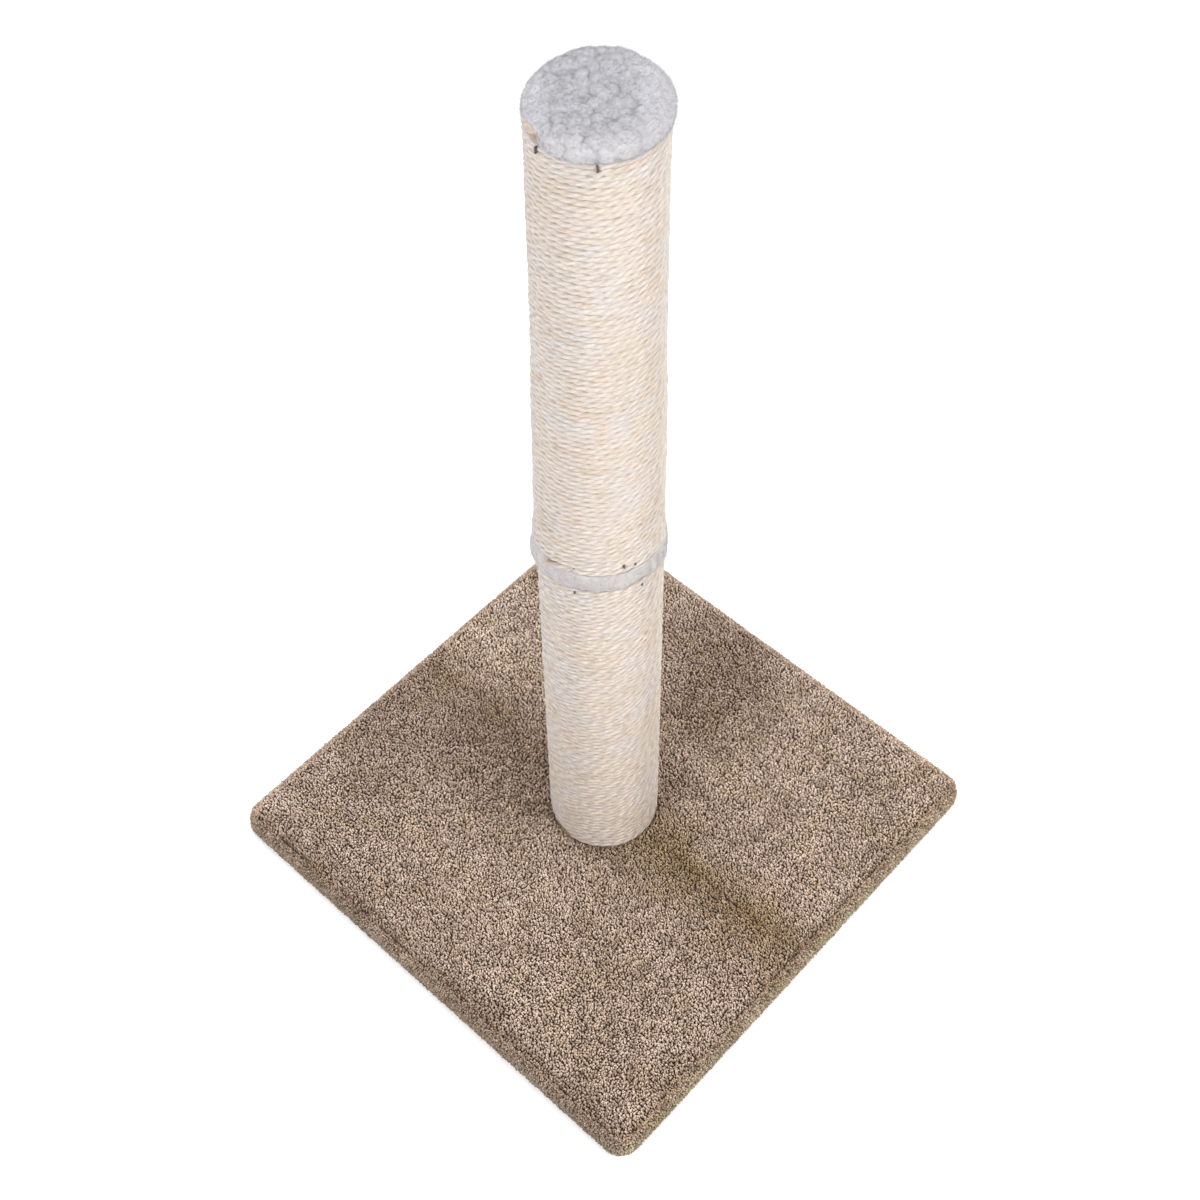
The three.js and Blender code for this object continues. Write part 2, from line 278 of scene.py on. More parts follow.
def pile_material():
    n = Nodes("carpet_pile")
    col = n.attribute("Col").outputs["Color"]
    fib = n.attribute("Fibre").outputs["Vector"]
    ply = n.noise(n.mapping(fib, (0.35, 2.6, 2.6)), 1.0, 3.0, 0.6)
    c = n.mix("MULTIPLY", 0.8, col, n.ramp(ply.outputs["Fac"], [(0.30, (0.62, 0.58, 0.53)), (0.55, (1, 1, 1)), (0.8, (1.0, 0.98, 0.95))]))
    n.link(c, n.bsdf.inputs["Base Color"])
    n.link(n.range(ply.outputs["Fac"], 0.82, 0.98), n.bsdf.inputs["Roughness"])
    n.link(n.bump(ply.outputs["Fac"], 0.5, 0.0003), n.bsdf.inputs["Normal"])
    n.set(Specular_IOR_Level=0.25, Sheen_Weight=0.25, Sheen_Roughness=0.4)
    return n.mat


def backing_material():
    n = Nodes("carpet_backing")
    co = n.node("ShaderNodeTexCoord").outputs["Object"]
    cell = n.noise(co, 900.0, 2.0)
    wide = n.noise(co, 60.0, 3.0)
    c = n.ramp(cell.outputs["Fac"], [(0.3, srgb(70, 54, 42)), (0.7, srgb(104, 84, 68))])
    c = n.mix("MULTIPLY", 0.5, c, n.ramp(wide.outputs["Fac"], [(0.3, (0.75, 0.72, 0.68)), (0.7, (1, 1, 1))]))
    n.link(c, n.bsdf.inputs["Base Color"])
    n.link(n.range(cell.outputs["Fac"], 0.85, 1.0), n.bsdf.inputs["Roughness"])
    n.link(n.bump(cell.outputs["Fac"], 0.5, 0.0004), n.bsdf.inputs["Normal"])
    n.set(Specular_IOR_Level=0.2)
    return n.mat


def plush_material(name):
    n = Nodes(name)
    col = n.attribute("Col").outputs["Color"]
    co = n.node("ShaderNodeTexCoord").outputs["Object"]
    curl = n.noise(co, 850.0, 3.0, 0.6)
    wide = n.noise(co, 120.0, 2.0)
    c = n.mix("MULTIPLY", 0.6, col, n.ramp(curl.outputs["Fac"], [(0.32, (0.82, 0.82, 0.84)), (0.58, (1, 1, 1))]))
    c = n.mix("MULTIPLY", 0.4, c, n.ramp(wide.outputs["Fac"], [(0.3, (0.92, 0.92, 0.95)), (0.65, (1, 1, 1))]))
    n.link(c, n.bsdf.inputs["Base Color"])
    n.link(n.range(curl.outputs["Fac"], 0.85, 1.0), n.bsdf.inputs["Roughness"])
    n.link(n.bump(curl.outputs["Fac"], 0.6, 0.0005), n.bsdf.inputs["Normal"])
    n.set(Specular_IOR_Level=0.2, Sheen_Weight=0.5, Sheen_Roughness=0.5)
    return n.mat


def steel_material(name, base, rough):
    n = Nodes(name)
    co = n.node("ShaderNodeTexCoord").outputs["Object"]
    spangle = n.noise(co, 260.0, 3.0)
    fine = n.noise(n.mapping(co, (40.0, 40.0, 900.0)), 1.0, 2.0)
    lo, hi = srgb(*base) * 0.78, srgb(*base)
    n.link(n.ramp(spangle.outputs["Fac"], [(0.3, lo), (0.7, hi)]), n.bsdf.inputs["Base Color"])
    n.link(n.range(fine.outputs["Fac"], rough - 0.08, rough + 0.12), n.bsdf.inputs["Roughness"])
    n.link(n.bump(fine.outputs["Fac"], 0.12, 0.0001), n.bsdf.inputs["Normal"])
    n.set(Metallic=1.0)
    return n.mat


def chipboard_material(name, dark, light):
    n = Nodes(name)
    co = n.node("ShaderNodeTexCoord").outputs["Object"]
    chips = n.node("ShaderNodeTexVoronoi", feature="F1")
    chips.inputs["Scale"].default_value = 1.0
    n.link(n.mapping(co, (230.0, 330.0, 400.0)), chips.inputs["Vector"])
    grain = n.noise(co, 700.0, 3.0)
    wide = n.noise(co, 22.0, 3.0)
    bw = n.node("ShaderNodeSeparateColor")
    n.link(chips.outputs["Color"], bw.inputs["Color"])
    c = n.ramp(bw.outputs["Red"], [(0.0, dark), (0.45, 0.5 * (dark + light)), (1.0, light)])
    c = n.mix("MULTIPLY", 0.5, c, n.ramp(grain.outputs["Fac"], [(0.3, (0.7, 0.66, 0.6)), (0.6, (1, 1, 1))]))
    c = n.mix("MULTIPLY", 0.4, c, n.ramp(wide.outputs["Fac"], [(0.3, (0.85, 0.82, 0.78)), (0.7, (1, 1, 1))]))
    n.link(c, n.bsdf.inputs["Base Color"])
    n.link(n.range(grain.outputs["Fac"], 0.6, 0.85), n.bsdf.inputs["Roughness"])
    n.link(n.bump(grain.outputs["Fac"], 0.25, 0.0002), n.bsdf.inputs["Normal"])
    return n.mat


def paperboard_material():
    n = Nodes("paperboard")
    co = n.node("ShaderNodeTexCoord").outputs["Object"]
    wrap = n.node("ShaderNodeTexWave", wave_type="BANDS", bands_direction="Z")
    wrap.inputs["Scale"].default_value = 6.0
    wrap.inputs["Distortion"].default_value = 1.2
    n.link(co, wrap.inputs["Vector"])
    pulp = n.noise(co, 500.0, 3.0)
    c = n.ramp(pulp.outputs["Fac"], [(0.3, srgb(146, 118, 84)), (0.7, srgb(178, 150, 112))])
    c = n.mix("MULTIPLY", 0.25, c, n.ramp(wrap.outputs["Fac"], [(0.0, (0.7, 0.68, 0.62)), (0.2, (1, 1, 1))]))
    n.link(c, n.bsdf.inputs["Base Color"])
    n.link(n.range(pulp.outputs["Fac"], 0.75, 0.95), n.bsdf.inputs["Roughness"])
    return n.mat


MAT = {
    "sisal": sisal_material(),
    "sisal_fibre": fibre_material("sisal_fibre", 0.7),
    "pile": pile_material(),
    "backing": backing_material(),
    "curly": plush_material("plush_curly"),
    "nap": plush_material("plush_nap"),
    "plush_fibre": fibre_material("plush_fibre", 0.9, 0.4),
    "zinc": steel_material("zinc_steel", (206, 206, 200), 0.34),
    "wire": steel_material("staple_wire", (96, 93, 88), 0.38),
    "board": chipboard_material("particle_board", srgb(150, 116, 76), srgb(212, 182, 136)),
    "plug": chipboard_material("plug_board", srgb(158, 126, 88), srgb(205, 176, 134)),
    "paper": paperboard_material(),
}


# ------------------------------------------------------------------ the camera

def put_camera():
    az, el, roll = 0.809194, 0.835844, -0.019491
    fwd = np.array([math.sin(az) * math.cos(el), math.cos(az) * math.cos(el), -math.sin(el)])
    right = np.cross(fwd, [0, 0, 1])
    right /= np.linalg.norm(right)
    up = np.cross(right, fwd)
    x = math.cos(roll) * right + math.sin(roll) * up
    y = -math.sin(roll) * right + math.cos(roll) * up
    data = bpy.data.cameras.new("camera")
    cam = bpy.data.objects.new("camera", data)
    bpy.context.scene.collection.objects.link(cam)
    m = Matrix.Identity(4)
    for i in range(3):
        m[i][0], m[i][1], m[i][2] = x[i], y[i], -fwd[i]
    m[0][3], m[1][3], m[2][3] = -0.636606, -0.594388, 1.485532
    cam.matrix_world = m
    data.sensor_width = 36
    data.lens = 36 * 2150.546 / 1200
    data.shift_x = 16.054 / 1200
    data.shift_y = -235.684 / 1200
    data.clip_start = 0.01
    data.clip_end = 60
    bpy.context.scene.camera = cam


put_camera()


# ------------------------------------------------------------------ sizes from the frame

base_lo, base_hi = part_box("base_carpet")
HALF = base_hi.x
TOP = base_hi.z
CORNER = 16 * MM
FOLD = 5 * MM
FOOT_R = 3 * MM
HEM = 47 * MM
PILE = 3.4 * MM
HEM_PILE = 1.4 * MM

low_lo, low_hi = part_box("lower_sisal_rope")
up_lo, up_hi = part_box("upper_sisal_rope")
ROPE_R = up_hi.x
TUBE_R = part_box("lower_tube")[1].x
SKIRT = TUBE_R + 0.3 * MM              # inside of the plush that runs down over a tube
band_lo, band_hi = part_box("lower_plush_cap")
cap_lo, cap_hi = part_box("upper_plush_cap")

STAPLES = []
for name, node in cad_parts.items():
    if "rope_staple" in name:
        lo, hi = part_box(name)
        mid = (lo + hi) / 2
        STAPLES.append((name, math.atan2(mid.y, mid.x), mid.z))


def cell_uv(count, templates):
    """A flat map with one small cell for each of many like items. templates: loops of one item, in face lists that
    are each repeated for all items."""
    g = int(math.ceil(math.sqrt(count)))
    cell = np.stack([np.arange(count) % g, np.arange(count) // g], 1)
    out = []
    for t in templates:
        t = np.asarray(t, float).reshape(-1, 2)
        out.append(((cell[:, None, :] + 0.08 + 0.84 * t[None]) / g).reshape(-1, 2))
    return np.concatenate(out)


# ------------------------------------------------------------------ loose fibres

def fibres(name, roots, directions, lengths, radius, colours, material, curl, seed, segments=3):
    """Fine tapering three-sided hairs. roots, directions (N, 3); lengths, radius (N,) or a number."""
    rng = np.random.default_rng(seed)
    n = len(roots)
    radius = np.broadcast_to(radius, (n,))
    d = directions / np.linalg.norm(directions, axis=1, keepdims=True)
    helper = np.where(np.abs(d[:, 2:3]) < 0.9, [[0, 0, 1.0]], [[1.0, 0, 0]])
    b = np.cross(d, helper)
    b /= np.linalg.norm(b, axis=1, keepdims=True)
    c = np.cross(d, b)
    turn = rng.uniform(0, TAU, n)
    bend = np.cos(turn)[:, None] * b + np.sin(turn)[:, None] * c
    amount = curl * rng.normal(0, 1, n)
    verts, cols = [], []
    for k in range(segments + 1):
        t = k / segments
        centre = roots + d * (lengths * t)[:, None] + bend * (lengths * amount * t * t)[:, None]
        r = radius * (1 - 0.75 * t)
        for s in range(3):
            a = TAU * s / 3
            verts.append(centre + (r * math.cos(a))[:, None] * b + (r * math.sin(a))[:, None] * c)
            cols.append(colours)
    m = 3 * (segments + 1)
    v = np.stack(verts, 1).reshape(-1, 3)
    col = np.stack(cols, 1).reshape(-1, 3)
    one = []
    for k in range(segments):
        for s in range(3):
            one.append([3 * k + s, 3 * k + (s + 1) % 3, 3 * k + 3 + (s + 1) % 3, 3 * k + 3 + s])
    quads = (np.array(one)[None] + (np.arange(n) * m)[:, None, None]).reshape(-1, 4)
    ends = np.array([[2, 1, 0], [3 * segments, 3 * segments + 1, 3 * segments + 2]])
    tris = (ends[None] + (np.arange(n) * m)[:, None, None]).reshape(-1, 3)
    quv = []
    for k in range(segments):
        for s in range(3):
            u0, u1, v0, v1 = s / 3, (s + 1) / 3, k / segments, (k + 1) / segments
            quv += [(u0, v0), (u1, v0), (u1, v1), (u0, v1)]
    tuv = [(0.5, 0.0), (0.52, 0.0), (0.51, 0.02), (0.5, 0.98), (0.52, 0.98), (0.51, 1.0)]
    return make_piece(name, v, [quads, tris], material, colour=col, bake_uv=cell_uv(n, [quv, tuv]))


# ------------------------------------------------------------------ sisal rope

def wrap_uv(lo_z, hi_z):
    """A flat map for bakes: once round the post across, its height up."""
    def lay(verts, loops, starts, counts):
        v = verts[loops]
        u = np.arctan2(v[:, 1], v[:, 0]) / TAU + 0.5
        first = np.repeat(u[starts], counts)
        u = np.where(u - first > 0.5, u - 1, np.where(first - u > 0.5, u + 1, u))
        return np.stack([u, (v[:, 2] - lo_z) / (hi_z - lo_z)], -1)
    return lay


# How far each winding stands in or out of its mean radius: fuller over the plush ends and at the joint.
FULL_Z = np.array([0.016, 0.080, 0.200, 0.346, 0.364, 0.385, 0.415, 0.440, 0.485, 0.505, 0.535, 0.560, 0.620, 0.690, 0.723])
FULL_R = np.array([-0.35, -0.15, 0.40, 0.80, 1.55, 1.50, 1.05, 0.90, 0.50, 0.20, -0.65, -0.80, -0.95, -0.85, -0.65]) * MM
# and how far the wound post leans off its axis towards the 134 degree side, and how oval it is
LEAN_Z = np.array([0.016, 0.346, 0.364, 0.370, 0.395, 0.415, 0.440, 0.485, 0.560, 0.650, 0.690, 0.723])
LEAN_R = np.array([0.0, 0.4, 1.0, 1.2, 0.85, 0.80, 0.50, 0.25, 0.0, -0.15, -0.45, -0.55]) * MM
OVAL_R = np.array([0.0, 0.0, 0.0, 0.0, 0.0, 0.0, 0.0, 0.0, 0.0, 0.15, 0.30, 0.35]) * MM


def fullness(az, z):
    side = np.cos(az - math.radians(134))
    front = np.cos(2 * (az - math.radians(-137)))
    return np.interp(z, FULL_Z, FULL_R) + np.interp(z, LEAN_Z, LEAN_R) * side + np.interp(z, LEAN_Z, OVAL_R) * front


def winding(name, node, lo, hi, pitch, jog, lay, seed, parts):
    """One rope, wound from lo to hi. jog is the angle where each turn climbs onto the next. parts is how many
    meshes carry it."""
    rng = np.random.default_rng(seed)
    height = hi - lo
    outer = ROPE_R
    thick = 4.75 * MM                      # across the rope, out from the tube
    turns = int(round((height - pitch) / pitch)) + 1
    p = (height - 1.04 * pitch) / (turns - 1)
    upper = lo > 100 * MM
    axial = p * 1.10                       # a turn's height, pressed on its neighbours
    w = 0.30                               # share of a turn spent climbing
    k = 15
    middle = outer - thick / 2
    step = 1.9 * MM
    phi = np.arange(0, TAU * (turns - (w * 0.9 if lo < 100 * MM else -0.012)), step / middle)
    f = phi / TAU % 1
    level = np.floor(phi / TAU) + smooth(f, 1 - w, 1)
    z = lo + 0.52 * p + p * level
    theta = jog + phi
    s = phi * middle
    ring = xyz(np.cos(theta), np.sin(theta), 0)
    # neighbouring turns wander together
    edge = smooth(z, lo, lo + 9 * MM) * smooth(-z, -hi, -hi + 9 * MM)
    q = np.concatenate([ring[:, :2] * outer, z[:, None]], 1)
    z = z + edge * (0.34 * MM * fbm(q / (13 * MM), seed, 2) + 0.16 * MM * noise(q / (4.5 * MM), seed + 1))
    along = xyz(s, 0, 0)
    swell = 1 + 0.045 * noise(along / (17 * MM), seed + 2) + 0.035 * noise(along / (6 * MM), seed + 3)
    out = middle + 0.20 * MM * noise(along / (23 * MM), seed + 4) + 0.10 * MM * noise(q / (7 * MM), seed + 5)
    out += fullness(theta, z)
    if upper:
        # the first end turns down over the plush, the last one climbs onto it
        first = smooth(-s, -15 * MM, 0)
        last = smooth(s, s[-1] - 30 * MM, s[-1] - 6 * MM)
        az = np.degrees(theta)
        sag_l = np.exp(-((((az - 148 + 180) % 360 - 180) / 30) ** 2))
        sag_r = np.exp(-((((az + 50 + 180) % 360 - 180) / 22) ** 2))
        bulge = np.exp(-((((az - 138 + 180) % 360 - 180) / 30) ** 2))
        near = np.clip(1 - (z - lo) / (85 * MM), 0, 1) ** 1.5
        out += (2.6 * bulge + 0.8 * sag_r) * MM * smooth(-z, -lo - 12 * MM, -lo)
        z = z - (8.0 * sag_l + 5.0 * sag_r) * MM * near - 2.0 * MM * first
        z = z + 2.4 * MM * smooth(s, s[-1] - 24 * MM, s[-1] - 3 * MM)
        out += 1.2 * MM * first + 1.0 * MM * last
    twist = TAU * s / lay + 1.5 * noise(along / (90 * MM), seed + 6) + 0.5 * noise(along / (24 * MM), seed + 16)

    j = np.arange(k)
    own = (j % 5) - 2                       # -2 .. 2 within a strand, 2|-2 meet in the valley
    rho = np.array([0.80, 0.955, 1.0, 0.955, 0.80])[own + 2]
    strand = j // 5
    psi = TAU * (j // 5) / 3 + own * TAU / 3 / 4.6
    a = psi[None, :] + twist[:, None]
    fat = 1 + 0.07 * np.stack([noise(xyz(s, 0, 40 * g) / (11 * MM), seed + 7) for g in range(3)], 1)[:, strand]
    hair = 0.022 * rng.normal(0, 1, a.shape)
    # the cut ends come apart: thinner, and ragged
    cut = np.maximum(smooth(-s, -9 * MM, 0), smooth(s, s[-1] - 9 * MM, s[-1]))
    hair = hair * (1 + 4 * cut[:, None])
    swell = swell * (1 - 0.42 * cut)
    r = rho[None, :] * fat * swell[:, None] + hair
    r_out = np.cos(a) * r * thick / 2
    r_up = np.sin(a) * r * axial / 2
    radial = out[:, None] + r_out
    zz = z[:, None] + r_up
    # pressed in under each staple's crown
    ang = theta[:, None] + 0 * radial
    for _, sa, sz in STAPLES:
        dent = (4.0 if sz > up_hi.z - 8 * MM or sz < 60 * MM else 2.3) * MM
        across = ((ang - sa + math.pi) % TAU - math.pi) * outer
        press = np.exp(-((across / (1.35 * MM)) ** 4)) * smooth(-np.abs(zz - sz), -dent, -0.5 * dent)
        if sz > up_hi.z - 8 * MM:
            press = press * smooth(zz, sz - 1.4 * MM, sz - 0.6 * MM)
        radial = radial - press * np.clip(radial - (outer - 1.25 * MM), 0, None)
        if sz > up_hi.z - 8 * MM:
            lap = np.exp(-((across / (2.4 * MM)) ** 4)) * smooth(-zz, -sz + 0.4 * MM, -sz + 1.2 * MM) * smooth(zz, sz - 6 * MM, sz - 4.5 * MM)
            radial = radial + lap * np.clip(outer + 1.05 * MM - radial, 0, None) * smooth(radial, outer - 2.4 * MM, outer - 1.4 * MM)
    # no deeper than the tube, no further than the winding's room
    inner = np.where(zz > lo, TUBE_R + 0.35 * MM, 0)
    radial = np.maximum(radial, inner)
    room_lo = (8.5 * sag_l + 5.5 * sag_r + 3.0 * first) * MM if upper else np.zeros(len(s))
    room_hi = np.where(s > s[-1] - 90 * MM, 12 * MM, 0) if upper else np.zeros(len(s))
    zz = np.clip(zz, (lo + 0.02 * MM - room_lo)[:, None], (hi - 0.02 * MM + room_hi)[:, None])
    verts = np.stack([np.cos(theta)[:, None] * radial, np.sin(theta)[:, None] * radial, zz], -1)

    # colour: ivory with warm, straw and greyish stretches
    ivory, warm, peach, straw, grey, tan = (
        srgb(207, 198, 192), srgb(204, 193, 183), srgb(203, 182, 166), srgb(199, 190, 173), srgb(203, 198, 198), srgb(178, 156, 132)
    )
    n = len(s)
    per = np.empty((n, k, 3))
    tone = fbm(q / (34 * MM), seed + 10, 2)
    streak = np.stack([noise(xyz(s, 0, 30 * g) / (28 * MM), seed + 11) for g in range(3)], 1)[:, strand]
    dash = np.stack([noise(xyz(s, 0, 30 * g) / (9 * MM), seed + 12) for g in range(3)], 1)[:, strand]
    per[:] = ivory
    def lean(c, weight):
        nonlocal per
        weight = np.clip(weight, 0, 1)[..., None]
        per = per * (1 - weight) + c * weight
    lean(warm, 0.40 + 0.50 * tone[:, None] + 0.25 * streak)
    lean(grey, smooth(fbm(q / (21 * MM), seed + 13, 2), 0.12, 0.45)[:, None] * 0.6)
    lean(peach, smooth(streak * 0.6 + fbm(q / (15 * MM), seed + 14, 2)[:, None] * 0.8, 0.36, 0.70) * 0.45)
    lean(straw, smooth(streak[:, ::-1] * 0.5 + fbm(q / (12 * MM), seed + 15, 2)[:, None] * 0.8, 0.38, 0.70) * 0.45)
    lean(tan, smooth(dash, 0.66, 0.9) * 0.4)
    # painted shade where the strands meet: darker in the valleys between them, more so on the lower part
    valley = np.array([0.86, 0.965, 1.0, 0.965, 0.86])[own + 2]
    deep = np.array([0.80, 0.955, 1.03, 0.955, 0.80])[own + 2]
    low_part = smooth(-z, -430 * MM, -340 * MM)[:, None]
    per = per * (valley[None, :] * (1 - low_part) + deep[None, :] * low_part)[..., None]
    per = per * (1 + (0.05 + 0.045 * low_part)[..., None] * rng.normal(0, 1, (n, k, 1)))
    # painted shade towards the foot: darker and browner, with the carpet's brown bounce light painted in
    rope_foot_shade = smooth(-z, -320 * MM, -110 * MM)[:, None, None]
    per = per * (1 - rope_foot_shade * (0.058, 0.082, 0.105))
    # painted light: paler down its two flanks
    right = smooth(np.cos(theta + math.radians(52)), 0.90, 0.995)[:, None, None]
    left = smooth(np.cos(theta - math.radians(142)), 0.90, 0.995)[:, None, None]
    per = per * (1 + right * (0.035, 0.060, 0.060)) * (1 + left * (0.0, 0.012, 0.045))
    # a darker, peachy stretch at the cut ends
    tail = np.maximum(smooth(-s, -22 * MM, 0), smooth(s, s[-1] - 26 * MM, s[-1]))[:, None, None]
    per = per * (1 - 0.38 * tail) + srgb(200, 164, 128) * 0.38 * tail
    per = per * (1 - 0.16 * tail * rng.random((n, k, 1)))

    fib = np.stack([np.broadcast_to((s / MM)[:, None], a.shape), np.cos(a), np.sin(a)], -1)
    made = []
    cuts = np.linspace(0, n - 1, parts + 1).astype(int)
    for i in range(parts):
        c0, c1 = cuts[i], cuts[i + 1] + 1
        block = verts[c0:c1]
        m = len(block)
        quads = rings_quads(m, k)[:, ::-1]
        ends = np.stack([block[0].mean(0), block[-1].mean(0)])
        v = np.concatenate([block.reshape(-1, 3), ends])
        jj = np.arange(k)
        cap0 = np.stack([np.full(k, m * k), (jj + 1) % k, jj], 1)[:, ::-1]
        last = (m - 1) * k
        cap1 = np.stack([np.full(k, m * k + 1), last + jj, last + (jj + 1) % k], 1)[:, ::-1]
        col = np.concatenate([per[c0:c1].reshape(-1, 3), per[[c0, c1 - 1]].mean(1)])
        fb = np.concatenate([fib[c0:c1].reshape(-1, 3), fib[[c0, c1 - 1]].mean(1)])
        ob = make_piece(f"{name}_{'abcdefgh'[i]}", v, [quads, np.concatenate([cap0, cap1])], MAT["sisal"], col, fb, wrap_uv(lo, hi))
        finish_piece(ob, "sisal", node)
        made.append(ob)

    # loose fibres standing off the rope, and frayed cut ends
    count = 2600
    i = rng.integers(0, n, count)
    th, up = theta[i], rng.uniform(-1.25, 1.25, count)
    e_r = xyz(np.cos(th), np.sin(th), 0)
    e_t = xyz(-np.sin(th), np.cos(th), 0)
    e_z = xyz(np.zeros(count), np.zeros(count), np.ones(count))
    root = e_r * (out[i] + np.cos(up) * thick * 0.44)[:, None] + e_z * (z[i] + np.sin(up) * axial * 0.44)[:, None]
    way = np.where(rng.random(count) < 0.5, -1.0, 1.0)[:, None]
    d = e_t * way + e_r * rng.uniform(0.03, 0.42, (count, 1)) + e_z * rng.normal(0, 0.28, (count, 1))
    length = rng.gamma(3.0, 1.5, count) * MM + 1.2 * MM
    shade = ivory + (warm - ivory) * rng.random((count, 1)) * 1.2
    shade = shade * rng.uniform(0.85, 1.06, (count, 1))
    cut_count = 190
    for e, sign in ((0, -1.0), (n - 1, 1.0)):
        r0 = verts[e].mean(0)
        u = rng.normal(0, 1.0 * MM, (cut_count, 3))
        th_e = theta[e]
        t_e = np.array([-math.sin(th_e), math.cos(th_e), 0]) * sign
        o_e = np.array([math.cos(th_e), math.sin(th_e), 0])
        root = np.concatenate([root, r0 + u])
        u = u - t_e * rng.uniform(0, 5 * MM, (cut_count, 1)) * 1.0
        root[-cut_count:] = r0 + u + o_e * 0.5 * MM
        d = np.concatenate([d, t_e + o_e * rng.uniform(-0.05, 0.30, (cut_count, 1)) + rng.normal(0, 0.38, (cut_count, 3))])
        length = np.concatenate([length, rng.uniform(2.0, 7.0, cut_count) * MM])
        shade = np.concatenate([shade, srgb(176, 140, 106) + (srgb(226, 206, 182) - srgb(176, 140, 106)) * rng.random((cut_count, 1))])
    tip = root + d / np.linalg.norm(d, axis=1, keepdims=True) * length[:, None]
    keep = (tip[:, 2] > lo - 1.0 * MM) & (tip[:, 2] < hi + 8 * MM) & (root[:, 2] > lo - 10 * MM) & (root[:, 2] < hi + 8 * MM)
    ob = fibres(f"{name}_stray_fibres", root[keep], d[keep], length[keep], rng.uniform(0.045, 0.085, keep.sum()) * MM,
                shade[keep], MAT["sisal_fibre"], 0.22, seed + 50, 4)
    finish_piece(ob, "sisal")
    made.append(ob)
    return made


winding("lower_rope", "lower_sisal_rope", low_lo.z, low_hi.z, 4.23 * MM, math.radians(176), 25.0 * MM, 210, 2)
winding("upper_rope", "upper_sisal_rope", up_lo.z, up_hi.z, 4.66 * MM, math.radians(170), 22.5 * MM, 310, 2)


# ------------------------------------------------------------------ pile and carpet

def tufts(name, root, normal, lean, length, radius, tone, phase, material, twist=2.6):
    """Cut yarn ends: two-ply tufts standing on root, leaning over by lean (a sideways vector per unit length)."""
    n, m = len(root), 5
    steps = np.array([0.0, 0.45, 0.84])
    swell = np.array([0.80, 1.0, 0.86])
    tip_dir = normal + 1.25 * lean
    tip_dir /= np.linalg.norm(tip_dir, axis=1, keepdims=True)
    helper = np.where(np.abs(normal[:, 2:3]) < 0.8, [[0.0, 0, 1]], [[1.0, 0, 0]])
    verts = np.empty((n, 3 * m + 1, 3))
    cols = np.empty((n, 3 * m + 1, 3))
    fib = np.empty((n, 3 * m + 1, 3))
    L = length[:, None]
    short = 1 / np.sqrt(1 + 0.8 * (lean**2).sum(1, keepdims=True))
    for k in range(3):
        t = steps[k]
        d = normal * (1 - t) + tip_dir * t
        d /= np.linalg.norm(d, axis=1, keepdims=True)
        b = np.cross(d, helper)
        b /= np.linalg.norm(b, axis=1, keepdims=True)
        c = np.cross(d, b)
        centre = root + (normal * t * (0.35 + 0.65 * short) + lean * t**1.5 * short) * L
        for j in range(m):
            own = TAU * j / m
            r = radius * swell[k] * (1 + 0.20 * math.cos(2 * own))
            a = own + phase + twist * t
            verts[:, k * m + j] = centre + (r * np.cos(a))[:, None] * b + (r * np.sin(a))[:, None] * c
            # painted shade down in the pile: each tuft darker towards its root and in the groove between its two plies
            ply_groove_shade = 0.92 + 0.08 * math.cos(2 * own)
            cols[:, k * m + j] = tone * (0.76, 0.93, 1.01)[k] * ply_groove_shade
            fib[:, k * m + j] = np.stack([t * length / MM + phase * 9, np.cos(own) + phase * 3, np.full(n, math.sin(own))], 1)
    verts[:, -1] = root + (normal * 1.03 * (0.35 + 0.65 * short) + lean * 1.03 * short) * L
    cols[:, -1] = tone * 1.07
    fib[:, -1] = np.stack([1.03 * length / MM + phase * 9, phase * 3, np.zeros(n)], 1)
    per = 3 * m + 1
    base = (np.arange(n) * per)[:, None, None]
    quads, quv, tris, tuv = [], [], [], []
    for k in range(2):
        for j in range(m):
            quads.append([k * m + j, (k + 1) * m + j, (k + 1) * m + (j + 1) % m, k * m + (j + 1) % m])
            u0, u1, v0, v1 = j / m, (j + 1) / m, steps[k], steps[k + 1]
            quv += [(u0, v0), (u0, v1), (u1, v1), (u1, v0)]
    for j in range(m):
        tris.append([2 * m + j, 3 * m, 2 * m + (j + 1) % m])
        tuv += [(j / m, steps[2]), ((j + 0.5) / m, 1.0), ((j + 1) / m, steps[2])]
    floor = [list(range(m))]
    fuv = [(0.5 + 0.02 * math.cos(TAU * j / m), 0.01 + 0.01 * math.sin(TAU * j / m)) for j in range(m)]
    faces = [
        (np.array(quads)[None] + base).reshape(-1, 4),
        (np.array(tris)[None] + base).reshape(-1, 3),
        (np.array(floor)[None] + base).reshape(-1, m),
    ]
    return make_piece(name, verts.reshape(-1, 3), faces, material, cols.reshape(-1, 3), fib.reshape(-1, 3),
                      cell_uv(n, [quv, tuv, fuv]))


# The outline of the base at some inset: a square with rounded corners, walked by stations that stay put.
SIDE_STEPS, CORNER_STEPS = 60, 14


def stations():
    """(side number, 0 on a side or 1 in a corner, share along it) once round the base."""
    out = []
    for q in range(4):
        a0 = q * math.pi / 2
        # the side facing a0, walked anticlockwise, then the corner after it
        for i in range(SIDE_STEPS):
            out.append((q, 0, i / SIDE_STEPS))
        for i in range(CORNER_STEPS):
            out.append((q, 1, i / CORNER_STEPS))
    return out


def outline(inset, st):
    """Points of the outline at that inset, one per station, and their outward directions."""
    half = HALF - inset
    r = max(CORNER - inset, 0.8 * MM)
    pts, outs = [], []
    for q, kind, f in st:
        a0 = q * math.pi / 2
        e = np.array([math.cos(a0), math.sin(a0)])
        t = np.array([-math.sin(a0), math.cos(a0)])
        if kind == 0:
            pts.append(e * half + t * (half - r) * (2 * f - 1))
            outs.append(e)
        else:
            a = a0 + f * math.pi / 2
            d = np.array([math.cos(a), math.sin(a)])
            pts.append((e + t) * (half - r) + d * r)
            outs.append(d)
    return np.array(pts), np.array(outs)


